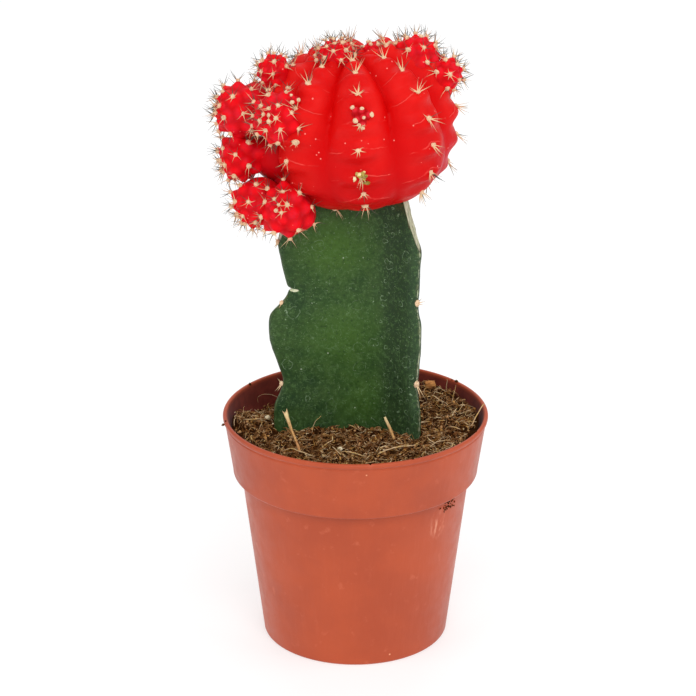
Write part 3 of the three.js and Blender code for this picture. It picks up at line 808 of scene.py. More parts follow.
motherShape = {
    "centre": (0.6, 3.0, 113.5),
    "aim": (-0.13, -0.02, 1.0),
    "radius": 19.2,
    "up": 12.8,
    "down": 19.4,
    "square": 2.4,
    "squareBelow": 2.7,
    "ribs": 8,
    "frontRib": 273.0,
    # ribs counted from the front one, and their headings from it; halves are the grooves
    "ribCounts": (-4.0, -1.0, -0.5, 0.0, 0.5, 1.0, 4.0),
    "ribTurns": (-180.0, -42.0, -22.0, 0.0, 21.5, 41.0, 180.0),
    "ribTwists": (0.0, -14.0, -6.0, -5.0, -3.0, 3.0, 0.0),  # by how much they turn aside on the lower half
    "groove": 0.23,
    "lowGroove": 0.15,  # share of the grooves' depth on the lower half
    "crown": 0.95,
    "ridge": 0.95,
    "dimple": 0.16,
    "chin": 0.036,
    "chinDrop": 0.14,  # the chins stand that share of a step below their areoles
    "notch": 0.012,
    "uneven": [(0.007, 0.3), (0.0025, 0.09)],  # depth and size
    "firstAreole": 30.0,
    "areoleStep": 16.5,
    "areoles": 8,
    "sharpFrom": 70,
    "around": 240,
    "rows": 150,
}

pupShape = {
    "ribs": 0,
    "up": 0.88,
    "down": 1.25,
    "square": 2.1,
    "squareBelow": 2.1,
    "valley": 0.71,  # share of the plain globe that the valleys between tubercles keep
    "rise": 0.41,  # height of a tubercle as a share of the spacing there
    "roundShare": 0.25,  # how much of that height is a rounded tip, and how wide the tip is
    "roundWidth": 0.22,
    "creaseSharp": 18,
    "bald": False,  # whether the areoles lack spines
    "nearSpacing": 1.4,  # spacing of the tubercles at the apex, in millimetres
    "farShare": 0.74,  # their spacing past the shoulder, as a share of the radius
    "shoulder": 62.0,
    "lastFall": 118.0,
    "around": 84,
    "rows": 54,
}
# two plain globes join the left offsets to the mother
plainNeck = {"up": 1.0, "valley": 1.0, "rise": 0.05, "lastFall": 22.0, "around": 40, "rows": 24}
tinyPup = {"nearSpacing": 2.0, "farShare": 0.85, "lastFall": 66.0, "valley": 0.5, "rise": 0.6,
           "bald": True, "around": 56, "rows": 36}

pups = [  # centre, radius over the tubercles, the way the apex points, and what differs from pupShape
    ((-23.2, 1.5, 113.8), 5.9, (-0.95, -0.2, 0.2), {"up": 1.0}),
    ((-15.2, -8.0, 115.2), 5.6, (-0.5, -0.8, 0.3), {}),
    ((-23.4, 0.5, 104.1), 5.2, (-0.93, -0.25, -0.2), {"down": 1.4, "lastFall": 150.0}),
    ((-14.0, -7.5, 96.0), 5.9, (-0.39, -0.86, 0.34), {}),
    ((-20.4, -3.8, 95.6), 5.2, (-0.75, -0.35, -0.5), {}),
    ((-15.5, 2.0, 104.2), 5.2, (-0.9, -0.3, 0.0), plainNeck),
    ((-16.4, 2.5, 121.8), 3.6, (-0.75, 0.3, 0.55), {"nearSpacing": 2.4, "lastFall": 150.0}),
    ((-4.0, 1.0, 124.9), 4.2, (-0.15, -0.3, 0.94), {"nearSpacing": 2.0, "farShare": 0.65}),
    ((12.2, 4.5, 124.0), 5.1, (0.35, 0.4, 0.8), {"nearSpacing": 2.8, "farShare": 0.66}),
    ((18.3, 2.5, 121.2), 3.4, (0.8, 0.4, 0.3), {"nearSpacing": 2.2, "farShare": 0.8, "lastFall": 150.0}),
    ((1.0, -14.7, 117.6), 3.0, (0.05, -0.93, 0.33), tinyPup),
    ((-11.8, -9.2, 118.6), 2.0, (-0.5, -0.75, 0.45), tinyPup),
    ((-9.6, 14.2, 118.0), 4.5, (-0.45, 0.65, 0.6), {}),
    ((3.0, 17.6, 118.8), 4.0, (0.1, 0.75, 0.65), {}),
    ((13.4, 14.0, 116.4), 4.7, (0.6, 0.7, 0.35), {}),
    ((-15.6, 14.4, 113.4), 5.5, (-0.7, 0.68, 0.2), {}),
    ((-1.0, 21.4, 111.6), 5.0, (-0.05, 0.98, 0.15), {}),
    ((13.4, 17.0, 106.6), 4.4, (0.65, 0.75, 0.0), {}),
    ((-11.8, 15.8, 101.8), 5.2, (-0.6, 0.72, -0.3), {}),
    ((-13.2, 1.5, 100.4), 4.0, (-0.9, -0.3, 0.0), plainNeck),
    ((3.2, 5.5, 124.6), 2.3, (0.1, -0.3, 0.95), {"nearSpacing": 2.0}),
    ((6.6, 6.0, 124.3), 2.2, (0.2, -0.2, 0.96), {"nearSpacing": 2.0}),
]


def withAxes(globe):
    # Adds the globe's own axes: apex, front and side
    apex = unit(np.array(globe["aim"], float))
    heading = math.radians(globe["frontRib"])
    toFront = np.array([math.cos(heading), math.sin(heading), 0])
    front = unit(toFront - toFront @ apex * apex)
    axes = np.stack([front, np.cross(apex, front), apex])
    return {**globe, "centre": np.array(globe["centre"]), "axes": axes}


def directions(swing, fall):
    # Unit vectors at a turn round the apex and a fall from it, both in radians
    return np.stack([np.sin(fall) * np.cos(swing), np.sin(fall) * np.sin(swing), np.cos(fall)], axis=-1)


def plainReach(globe, fall):
    # A boxy ellipse: the powers of its two shares add up to one
    below = fall > math.pi / 2
    height = np.where(below, globe["down"], globe["up"])
    power = np.where(below, globe["squareBelow"], globe["square"])
    aside, along = np.sin(fall) / globe["radius"], np.abs(np.cos(fall)) / height
    return (aside ** power + along ** power) ** (-1 / power)


def ribTurn(globe, count, fall):
    # Heading from the front rib, in degrees, of a place counted in ribs
    aside = np.interp(count, globe["ribCounts"], globe["ribTwists"]) * easeBetween(1.1, 1.9, fall)
    return np.interp(count, globe["ribCounts"], globe["ribTurns"]) + aside


def ribPlace(globe, swing, fall):
    # Which rib a point lies on, how far it is from the crest towards the groove (0 to 1), and how many
    # areole steps it lies below the rib's first areole; every second rib has its areoles half a step lower
    turned = np.degrees(swing)
    turned = turned - 360 * np.round(turned / 360)
    count = np.zeros(np.shape(turned))
    for before, after in zip(globe["ribCounts"], globe["ribCounts"][1:]):
        low, high = ribTurn(globe, before, fall), ribTurn(globe, after, fall)
        share = (turned - low) / (high - low)
        count = np.where((share >= 0) & (share <= 1), lerp(before, after, share), count)
    rib = np.round(count)
    aside = 2 * np.abs(count - rib)
    stagger = 0.5 * (np.abs(rib) % 2)
    phase = (np.degrees(fall) - globe["firstAreole"]) / globe["areoleStep"] - stagger
    return rib, aside, phase


def motherReach(globe, swing, fall):
    # The boxy ellipse, cut by grooves between the ribs, with a chin below each areole, a small notch
    # at it, a dimple at the apex and a little unevenness
    rib, aside, phase = ribPlace(globe, swing, fall)
    crest = np.abs(np.cos(math.pi * aside / 2))
    depth = globe["groove"] * lerp(1, globe["lowGroove"], easeBetween(1.2, 2.3, fall))
    groove = depth * np.sin(fall) ** 0.7 * (1 - crest ** globe["crown"]) ** globe["ridge"]
    beforeLast = easeBetween(globe["areoles"] - 0.3, globe["areoles"] - 0.6, phase)
    within = easeBetween(-0.6, -0.3, phase) * beforeLast * (1 - easeBetween(2.2, 2.5, fall))
    chin = globe["chin"] * within * crest ** 2 * np.cos(fullTurn * (phase - globe["chinDrop"]))
    notch = globe["notch"] * within * crest ** 10 * np.exp(-((phase - np.round(phase)) / 0.14) ** 2)
    dimple = globe["dimple"] * np.exp(-(fall / 0.32) ** 2)
    way = directions(swing, fall)
    uneven = sum(depth * cloud(way + 3, size) for depth, size in globe["uneven"])
    return plainReach(globe, fall) * (1 - groove) * (1 + chin - notch) * (1 - dimple) * (1 + uneven)


def tuberclesOf(globe):
    # Tubercles wind round the apex by the golden angle; their spacing grows from the apex down, each
    # takes up 0.87 of its spacing squared, as close packing does, and the falls are where the running
    # count of tubercles passes each half number
    fall = np.linspace(0, math.radians(globe["lastFall"]), 240)
    share = np.minimum(fall / math.radians(globe["shoulder"]), 1)
    far = globe["farShare"] * globe["radius"]
    spacing = lerp(min(globe["nearSpacing"], far), far, share) / globe["radius"]
    density = fullTurn * np.sin(fall) / (0.87 * spacing ** 2)
    count = np.concatenate([[0], np.cumsum((density[1:] + density[:-1]) / 2 * np.diff(fall))])
    number = np.arange(int(count[-1])) + 0.5
    own = np.interp(number, count, fall)
    swing = number * goldenAngle + math.radians(globe["frontRib"])
    return {"fall": own, "swing": swing, "spacing": np.interp(own, fall, spacing)}


def pupReach(globe, swing, fall):
    # The plain globe shrunk to its valleys, plus the highest of the tubercles there: each is a cone with
    # rounded flanks. Also gives how near the point is to a tubercle's tip, from 0 to 1
    knobs = globe["knobs"]
    way = directions(swing, fall)
    tips = directions(knobs["swing"], knobs["fall"])
    apart = np.arccos(np.clip(way @ tips.T, -1, 1)) / knobs["spacing"]
    tipShare = globe["roundShare"]
    flank = tipShare * np.exp(-(apart / globe["roundWidth"]) ** 2) + (1 - tipShare) * np.clip(1 - apart, 0, 1)
    rise = globe["rise"] * knobs["spacing"] * globe["radius"] * flank
    highest = np.sum(rise ** globe["creaseSharp"], axis=-1) ** (1 / globe["creaseSharp"])
    near = np.max(flank, axis=-1)
    uneven = 0.012 * cloud(way * globe["radius"] + globe["centre"], 1.6)
    bare = max(math.radians(globe["lastFall"]), 2.05)
    kept = lerp(globe["valley"], 0.97, easeBetween(bare - 0.45, bare + 0.45, fall)) + uneven
    return plainReach(globe, fall) * kept + highest, near


def reachOf(globe, swing, fall):
    # How far a globe's skin is from its centre, and how near to a tubercle's tip
    if globe["ribs"]:
        return motherReach(globe, swing, fall), 0 * fall
    return pupReach(globe, swing, fall)


def allGlobes():
    # The mother comes first; each offset is turned round its apex by lot
    turns = np.random.default_rng(7)
    globes = [withAxes(motherShape)]
    for centre, radius, aim, own in pups:
        pup = {**pupShape, "centre": centre, "radius": radius, "aim": aim, **own}
        pup["up"], pup["down"] = radius * pup["up"], radius * pup["down"]
        pup["frontRib"] = 360 * turns.random()
        pup["knobs"] = tuberclesOf(pup)
        globes.append(withAxes(pup))
    return globes


def globePoints(globe, swing, fall):
    # Points on a globe's own skin, in the part's frame
    reach, _ = reachOf(globe, swing, fall)
    return globe["centre"] + reach[..., None] * directions(swing, fall) @ globe["axes"]


def globeMesh(globe, name):
    # The globe's grid runs from its foot up to its apex
    fall = math.pi * (1 - (np.arange(globe["rows"]) + 0.5) / globe["rows"])
    swings, falls = np.meshgrid(evenAngles(globe["around"]), fall)
    ends = globePoints(globe, np.zeros(2), np.array([math.pi, 0.0]))
    points, faces = closedSkin(ends[0], globePoints(globe, swings, falls), ends[1])
    return layMesh(name, points, faces)


def fleshMesh(globes):
    # The mother and the offsets are joined into one skin
    mother = addObject("motherGlobe", globeMesh(globes[0], "motherGlobe"))
    group = bpy.data.collections.new("pupGlobes")
    bpy.context.scene.collection.children.link(group)
    for i, pup in enumerate(globes[1:]):
        group.objects.link(bpy.data.objects.new(f"pupGlobe{i}", globeMesh(pup, f"pupGlobe{i}")))
    mesh = bakedBoolean(mother, "globe_flesh", list(group.objects), motherShape["sharpFrom"],
                        operation="UNION", operand_type="COLLECTION", collection=group)
    bpy.data.collections.remove(group)
    paintFlesh(mesh, globes)
    return mesh


def paintFlesh(mesh, globes):
    # Each point belongs to the globe whose own skin it is nearest to
    points = meshPoints(mesh)
    best = np.full(len(points), np.inf)
    paints = {key: np.zeros(len(points)) for key in ("aside", "phase", "pup", "tip", "below")}
    for i, globe in enumerate(globes):
        near = np.nonzero(np.linalg.norm(points - globe["centre"], axis=1) < 1.6 * globe["radius"])[0]
        local = (points[near] - globe["centre"]) @ globe["axes"].T
        distance = np.linalg.norm(local, axis=1)
        fall = np.arccos(np.clip(local[:, 2] / distance, -1, 1))
        swing = np.arctan2(local[:, 1], local[:, 0])
        reach, tip = reachOf(globe, swing, fall)
        off = np.abs(distance - reach)
        chosen = off < best[near]
        at = near[chosen]
        best[at] = off[chosen]
        paints["pup"][at] = float(i > 0)
        paints["tip"][at] = tip[chosen]
        if globe["ribs"]:
            _, aside, phase = ribPlace(globe, swing, fall)
            paints["aside"][at] = aside[chosen]
            paints["phase"][at] = phase[chosen]
            # how far down the lower half a point lies, where the material paints shade
            paints["below"][at] = easeBetween(1.5, 2.5, fall[chosen])
    for key, values in paints.items():
        paint(mesh, key, values)


fleshFinish = {
    "glow": {"Subsurface Weight": 0.25, "Subsurface Radius": (1.0, 0.12, 0.08), "Subsurface Scale": 0.0014},
    "red": (0.73, 0.01, 0.008),
    "deepRed": (0.65, 0.005, 0.005),
    "groove": (0.62, 0.0007, 0.001),
    "shadeBelow": (0.5, 0.003, 0.005),
    "pup": (0.83, 0.004, 0.011),
    "palePup": (0.75, 0.011, 0.027),
    "pupCreaseShade": (0.46, 0.001, 0.003),
    "bud": (0.72, 0.025, 0.042),  # the tiny offset on the front rib is a deeper crimson
    "budCreaseShade": (0.42, 0.001, 0.004),
    "budPlace": (1.0, -16.4, 117.6),
    "thread": (0.92, 0.09, 0.075),
    "dot": (0.95, 0.34, 0.28),
    "sheenPatch": (0.55, 0.06, 0.1),
    "sheenPatchPlace": (17.5, -1.5, 104.5),
}


def globeFlesh():
    # Glowing red flesh: light passes a little way in; the grooves are a darker, purer red of painted shade,
    # thin pale lines run from each areole over the flanks, and there are pale specks, painted shade in the
    # pups' creases and on the lower half, and one purplish patch of painted sheen on the right flank
    tones = fleshFinish
    startMaterial("globeFlesh", 0.42, 0.06, tones["glow"])
    place = placeInMm()
    clouds, fine = noise(place, 7, 4), noise(place, 1.1, 4, 0.6)
    aside, isPup, tip = painted("aside"), painted("pup"), painted("tip")
    ground(fade(clouds, 0.32, 0.68), tones["red"], tones["deepRed"])
    # painted shade: the grooves between the ribs get a darker, purer red
    coat(fade(aside, 0.5, 0.95, 0, 0.9), tones["groove"])
    # painted shade: the mother's lower half is darkened towards its foot
    coat(times(painted("below"), 0.7), tones["shadeBelow"])
    pupTone = blend(fade(noise(place, 2.2, 3), 0.4, 0.65), tones["pup"], tones["palePup"])
    # painted shade: away from the tubercles' tips the pups are darkened into their creases
    coat(times(isPup, 0.9), blend(fade(tip, 0.6, 0.32, 0, 0.6), pupTone, tones["pupCreaseShade"]))
    # painted shade in the creases between the tiny offset's knobs; the knobs keep its deeper crimson
    budTone = blend(fade(tip, 0.7, 0.35), tones["bud"], tones["budCreaseShade"])
    coat(times(isPup, nearPlace(tones["budPlace"], 6.5)), budTone)
    # a line falls 0.4 of a step between the crest and the groove
    slant = calc("SUBTRACT", painted("phase"), times(aside, 0.4))
    wavy = calc("ADD", slant, times(noise(place, 3, 2), 0.22))
    thread = fade(calc("PINGPONG", wavy, 0.5), 0.03, 0.008)
    patchy = fade(noise(place, 4.5, 3), 0.42, 0.58)
    thread = times(thread, patchy, calc("SUBTRACT", 1.0, isPup), fade(aside, 0.95, 0.6))
    coat(times(thread, 0.6), tones["thread"])
    dots = calc("MAXIMUM", specks(place, 1.5, 0.2, 0.4), specks(place, 3.4, 0.24, 0.4))
    coat(times(dots, 0.8), tones["dot"])
    # painted sheen: a purplish patch on the right flank, a reflection of the bright room where the flank
    # turns away
    sheenPatch = times(nearPlace(tones["sheenPatchPlace"], 7.5), fade(noise(place, 2.2, 4), 0.36, 0.62))
    coat(times(sheenPatch, 0.75), tones["sheenPatch"])
    relief = bump(clouds, 0.2, bump(fine, 0.06, bump(thread, 0.1)))
    return finishMaterial(relief, fade(fine, 0.3, 0.7, 0.36, 0.5))


# Areoles and spines

# areoles with a shape of their own: the place in ribs from the front one, the fall, the way the spines
# lean (1 is up the rib), the angle of their fan, their number, and their length and the pad's size as shares
ownAreoles = [
    (0, 30.0, 1, 2.4, 5, 0.9, 1.0),
    (0, 46.5, 1, 2.2, 6, 0.95, 1.0),
    (0, 63.0, 1, 5.6, 9, 0.62, 0.9),
    (0, 81.0, -1, 2.6, 8, 0.55, 0.8),
    (0, 96.0, -1, 4.6, 6, 0.7, 1.0),
    (0, 112.5, -1, 2.0, 5, 0.9, 1.0),
    (0, 126.0, -1, 2.6, 5, 0.5, 1.0),
    (0, 136.5, -1, 2.6, 5, 1.3, 1.2),
    (-0.86, 91.0, -1, 5.0, 5, 0.45, 1.7),
]

areoleLook = {
    "mother": {"pad": (0.6, 0.45, 0.4), "spines": (5, 8), "length": 2.7, "width": 0.12, "dusky": 0.4,
               "fan": 2.5, "shoulder": (68, 90), "shoulderFan": 4.6, "turnsDown": 74},
    "pup": {"pad": (0.42, 0.38, 0.3), "spines": (5, 8), "length": 2.15, "width": 0.092, "dusky": 0.9,
            "fan": 5.6, "grownSpacing": (0.9, 3.2), "spinesFrom": 1.9},
    "stem": {"pad": (0.6, 0.75, 0.5), "width": 0.13, "dusky": 0.2},
}


def motherAreoles(globe):
    # One areole at every step down each rib but the front one, and those with a shape of their own, with
    # the way out of the skin, the way up the rib and the place in ribs
    rib, number = np.meshgrid(np.arange(1, globe["ribs"]), np.arange(globe["areoles"]))
    rib, number = rib.ravel(), number.ravel()
    fall = globe["firstAreole"] + globe["areoleStep"] * (number + 0.5 * (rib % 2))
    fall = np.radians(np.append(fall, [own[1] for own in ownAreoles]))
    count = np.where(rib > globe["ribs"] / 2, rib - globe["ribs"], rib)
    count = np.append(count, [own[0] for own in ownAreoles])
    swing = np.radians(ribTurn(globe, count, fall)) + draw.normal(0, 0.012, len(fall))
    return [*skinFrames(globe, swing, fall), count]


def skinFrames(globe, swing, fall):
    # Roots on the skin; up is along the skin towards the apex, and out is square to it
    step, splay = 0.02, 0.8
    root = globePoints(globe, swing, fall)
    above = globePoints(globe, swing, np.maximum(fall - step, 0.001))
    up = unit(above - globePoints(globe, swing, fall + step))
    turned = globePoints(globe, swing + step, fall) - globePoints(globe, swing - step, fall)
    out = unit(np.cross(up, turned))
    out = np.where(np.sum(out * (root - globe["centre"]), axis=1, keepdims=True) < 0, -out, out)
    out = unit(out + splay * unit(root - globe["centre"]))
    up = unit(up - np.sum(up * out, axis=1, keepdims=True) * out)
    return root, out, up, fall


def keepExposed(places):
    # Keeps the places that lie on the joined skin, aren't crowded by a neighbour and aren't in the stem
    skinReach, lift, room, aboveStem = 0.25, 0.9, 0.5, 0.5
    keep = []
    for at, way in zip(places[0], places[1]):
        onSkin = fleshTree.find_nearest(Vector(at * mm))[3] < skinReach * mm
        free = onSkin and isOutside(fleshTree, at + lift * way, room)
        keep.append(free and (isOutside(stemTree, at) or at[2] > stemShape["top"] + aboveStem))
    return [values[np.array(keep)] for values in places]


def padSkins(root, out, up, sizes):
    # Felt pads: flattened domes with a rough skin, their feet sunk below the flesh
    side = np.cross(up, out)
    lift = np.radians([150, 112, 78, 45, 18])
    swing, roughness = evenAngles(9), 0.16
    wide, high = np.sin(lift)[:, None] * np.cos(swing), np.sin(lift)[:, None] * np.sin(swing)
    tall = np.cos(lift)[:, None] + 0 * swing
    rough = 1 + roughness * draw.uniform(-1, 1, (len(root), len(lift), len(swing)))
    shares = (wide * rough)[..., None] * (side * sizes[:, :1])[:, None, None]
    shares = shares + (high * rough)[..., None] * (up * sizes[:, 1:2])[:, None, None]
    shares = shares + (tall * rough)[..., None] * (out * sizes[:, 2:])[:, None, None]
    middle = root[:, None, None]
    low = root - out * sizes[:, 2:]
    high = root + out * sizes[:, 2:]
    return repeatSkins(middle + shares, low, high)


def spineMesh(name, root, way, sag, length, width, dusky):
    # Four-sided needles that leave along their way and bend by their sag: thick at the foot, thin for
    # most of their length. Each point knows how far along it is. Some are dusky by lot, and painted shade
    # makes more of those that point sideways or back dark, so those that point to the front are seldom dusky
    steps, sides = 6, 4
    t = np.linspace(-0.12, 1, steps)[:, None]
    size = length[:, None, None]
    paths = root[:, None] + way[:, None] * t * size + sag[:, None] * np.maximum(t, 0) ** 2 * size
    t = np.clip(t[:, 0], 0, 1)
    taper = 0.16 + 0.84 * (1 - t) ** 1.15
    points, faces = tubesAlong(paths, width[:, None] * taper, sides)
    along = spreadAlong(np.broadcast_to(t, (len(root), steps)), steps, sides)
    # painted shade: spines that point sideways or back are made dark more often, as if seen against the light
    shade = dusky * easeBetween(-0.55, -0.2, way[:, 1:2])
    dark = easeBetween(0.9 - shade, 1.1 - shade, draw.random((len(root), 1)))
    tone = spreadAlong(np.repeat(dark, steps, axis=1), steps, sides)
    return layMesh(name, points, faces, {"along": along, "tone": tone})


spineHabit = {
    "scatter": 0.16,  # of the angles in a fan
    "stand": (0.75, 0.2),  # how far a spine stands up from the skin, and how much that varies
    "standLimits": (0.3, 1.4),
    "lengths": (0.72, 1.15),
    "widths": (0.8, 1.2),
    "sag": 0.16,
    "sagScatter": 0.09,
    "droop": 0.05,
}


def fanSpines(root, out, up, lean, spread, counts, look, lengthScale):
    # Each areole's spines fan evenly round its lean, in the plane of the skin, and stand up from it;
    # lean is 1 for spines that point up the rib, -1 for down it
    habit = spineHabit
    owner = np.repeat(np.arange(len(root)), counts)
    first = np.concatenate([[0], np.cumsum(counts)[:-1]])
    order = np.arange(len(owner)) - first[owner]
    share = (order + 0.5) / counts[owner] - 0.5
    angle = spread[owner] * share + draw.normal(0, habit["scatter"], len(owner))
    side = np.cross(up, out)[owner]
    along = (lean[:, None] * up)[owner]
    flat = along * np.cos(angle)[:, None] + side * np.sin(angle)[:, None]
    stand = np.clip(draw.normal(*habit["stand"], len(owner)), *habit["standLimits"])[:, None]
    way = unit(flat + stand * out[owner])
    start = root[owner] + 0.45 * look["pad"][0] * flat + 0.25 * look["pad"][2] * out[owner]
    length = look["length"] * lengthScale[owner] * draw.uniform(*habit["lengths"], len(owner))
    width = look["width"] * draw.uniform(*habit["widths"], len(owner))
    sag = habit["sag"] * out[owner] + draw.normal(0, habit["sagScatter"], (len(owner), 3))
    return start, way, sag - habit["droop"] * flat, length, width


def growMotherAreoles():
    # Spines fan up the rib near the apex, all round on the shoulder and down the rib below
    look = areoleLook["mother"]
    root, out, up, fall, rib = keepExposed(motherAreoles(globes[0]))
    count = len(root)
    sizes = np.array(look["pad"]) * draw.uniform(0.8, 1.2, (count, 1))
    degrees = np.degrees(fall)
    lean = np.where(degrees < look["turnsDown"], 1.0, -1.0)
    onShoulder = (degrees > look["shoulder"][0]) & (degrees < look["shoulder"][1])
    spread = np.where(onShoulder, look["shoulderFan"], look["fan"])
    counts = draw.integers(*look["spines"], count)
    scale = np.ones(count)
    for place, at, *fan, pad in ownAreoles:
        here = (np.abs(rib - place) < 0.01) & (np.abs(degrees - at) < 1)
        lean[here], spread[here], counts[here], scale[here] = fan
        sizes[here] *= pad
    pads = padSkins(root, out, up, sizes)
    return pads, fanSpines(root, out, up, lean, spread, counts, look, scale)


def growPupAreoles():
    # One areole on every tubercle that stands free; the smallest ones have no spines
    look = areoleLook["pup"]
    parts = []
    for globe in globes[1:]:
        knobs = globe["knobs"]
        root, out, up, fall = skinFrames(globe, knobs["swing"], knobs["fall"])
        bald = np.full(len(root), globe["bald"])
        parts.append([root, out, up, knobs["spacing"] * globe["radius"], bald])
    joined = [np.concatenate([part[i] for part in parts]) for i in range(5)]
    root, out, up, spacing, bald = keepExposed(joined)
    count = len(root)
    grown = easeBetween(*look["grownSpacing"], spacing)
    sizes = (0.88 + 0.3 * grown) * draw.uniform(0.85, 1.2, count)
    sizes = np.array(look["pad"]) * sizes[:, None]
    pads = padSkins(root + 0.05 * out, out, up, sizes)
    counts = np.where((spacing < look["spinesFrom"]) | bald, 0, draw.integers(*look["spines"], count))
    lean = np.where(draw.random(count) < 0.5, 1.0, -1.0)
    spread = np.full(count, look["fan"])
    spines = fanSpines(root, out, up, lean, spread, counts, look, 0.55 + 0.5 * grown)
    return pads, spines


# the stem's areoles, rib by rib: the angles of three spines from straight up, and their lengths
stemSpines = [
    ((35, -150, 165), (2.2, 2.6, 3.0)),
    ((60, -70, 150), (1.8, 2.2, 2.4)),
    ((-20, 160, 200), (0.6, 0.9, 0.8)),
    ((40, 95, 170), (0.9, 1.4, 1.0)),
    ((10, 205, 150), (1.7, 2.1, 1.3)),
    ((80, 110, 30), (1.3, 0.9, 0.9)),
    ((-35, 168, 196), (1.6, 3.2, 3.3)),
]


def growStemAreoles():
    # The areoles on the stem's margins, at its notches or a little below them
    look = areoleLook["stem"]
    roots, outs = [], []
    for rib in stemShape["ribs"]:
        z = np.array(rib["areoles"])
        heading = math.radians(rib["heading"])
        way = np.array([math.cos(heading), math.sin(heading), 0])
        reach = marginReach(rib, z) + 0.1
        roots.append(np.array([*stemShape["axis"], 0]) + reach[:, None] * way + z[:, None] * [0, 0, 1])
        outs.append(np.repeat(way[None], len(z), axis=0))
    root, out = np.concatenate(roots), np.concatenate(outs)
    up = np.repeat([[0.0, 0.0, 1.0]], len(root), axis=0)
    pads = padSkins(root, out, up, np.array(look["pad"]) * draw.uniform(0.85, 1.15, (len(root), 1)))
    angles, lengths = np.moveaxis(np.array(stemSpines, float), 1, 0)
    angles = np.radians(angles) + draw.normal(0, 0.08, angles.shape)
    side = np.cross(up, out)
    flat = np.cos(angles)[..., None] * up[:, None] + np.sin(angles)[..., None] * side[:, None]
    way = unit(flat + 0.55 * out[:, None]).reshape(-1, 3)
    start = (root[:, None] + 0.35 * flat + 0.2 * out[:, None]).reshape(-1, 3)
    sag = np.repeat(0.1 * out[:, None], 3, axis=1).reshape(-1, 3) + draw.normal(0, 0.08, (len(way), 3))
    return pads, (start, way, sag, lengths.ravel(), np.full(len(way), look["width"]))


feltTones = {"thin": (0.7, 0.43, 0.24), "thick": (0.96, 0.74, 0.5), "pink": (0.9, 0.52, 0.36)}
hornTones = {"foot": (0.86, 0.62, 0.36), "tan": (0.58, 0.4, 0.22), "tip": (0.13, 0.1, 0.075),
             "dusky": (0.035, 0.032, 0.026)}


def areoleFelt():
    # Cream felt, pinker where it is thin
    startMaterial("areoleFelt", 0.9, 0.1)
    place = placeInMm()
    fuzz = noise(place, 0.22, 3, 0.7)
    ground(fade(fuzz, 0.3, 0.7), feltTones["thin"], feltTones["thick"])
    coat(fade(noise(place, 1.6, 2), 0.5, 0.7, 0, 0.4), feltTones["pink"])
    return finishMaterial(bump(fuzz, 0.16))


def spineHorn():
    # Horny spines: cream at the foot, tan on, with a grey-brown tip; the dusky ones, partly painted shade,
    # are dark all along
    startMaterial("spineHorn", 0.5, 0.3)
    along = painted("along")
    ground(fade(along, 0.2, 0.9), hornTones["foot"], hornTones["tan"])
    coat(fade(along, 0.7, 1.0, 0, 0.8), hornTones["tip"])
    coat(times(painted("tone"), fade(along, 0.05, 0.25, 0, 0.95)), hornTones["dusky"])
    return finishMaterial(bump(noise(placeInMm(), 0.3, 2), 0.02))


# Soil

soilShape = {
    "level": 45.4,
    "slope": (0.07, 0.03),
    # place, height and reach
    "heaps": [((-8.0, -2.0), 0.6, 9.0), ((-27.0, 3.0), 4.2, 7.0), ((27.0, -4.0), 1.6, 8.0),
              ((-17.0, 16.0), -1.8, 10.0)],
    "clod": 0.42,
    "lumps": [(0, 0.36, 1.5), (5, 0.26, 0.8), (9, 0.18, 0.42)],  # shift, depth and size
    "wallTop": 42.0,  # the plug's side is plain up to here
    "gap": 0.15,  # to the pot's wall
    "lookHeight": 48.5,  # where loose bits are kept out of the stem
    "rings": 120,
    "around": 300,
    "crumbs": 6400,
    "crumbSizes": (0.13, 0.32, 2.6),  # least, what is added at most, and the power
    "fibres": 5300,
    "fibreLengths": (0.7, 3.4, 2.4),
    "fibreWidths": (0.05, 0.08, 2),
    "grains": 60,
}
largeGrains = [  # place and size
    ((-18.4, 4.4), (0.75, 0.6, 0.5)), ((-3.1, -10.9), (0.7, 0.55, 0.4)), ((-17.2, 3.6), (0.5, 0.4, 0.3)),
]


def soilTop(x, y):
    # A gentle slope, its heaps, and clods from crossing waves
    height = soilShape["level"] + soilShape["slope"][0] * x + soilShape["slope"][1] * y
    for (heapX, heapY), rise, reach in soilShape["heaps"]:
        height = height + rise * np.exp(-((x - heapX) ** 2 + (y - heapY) ** 2) / reach ** 2)
    clods = np.sin(0.75 * x + 1.3) * np.cos(0.68 * y - 0.4)
    clods = clods + 0.6 * np.sin(1.35 * x - 0.95 * y) + 0.5 * np.cos(1.7 * y + 0.9 * x + 2)
    return height + soilShape["clod"] * clods


def crumbly(x, y):
    # The top with its crumbs: ever smaller lumps on the clods
    flat = np.stack([x, y, 0 * x], axis=-1)
    lumps = sum(depth * cloud(flat + shift, size) for shift, depth, size in soilShape["lumps"])
    return soilTop(x, y) + lumps


soilRadius = collarInside(soilShape["level"]) - soilShape["gap"]


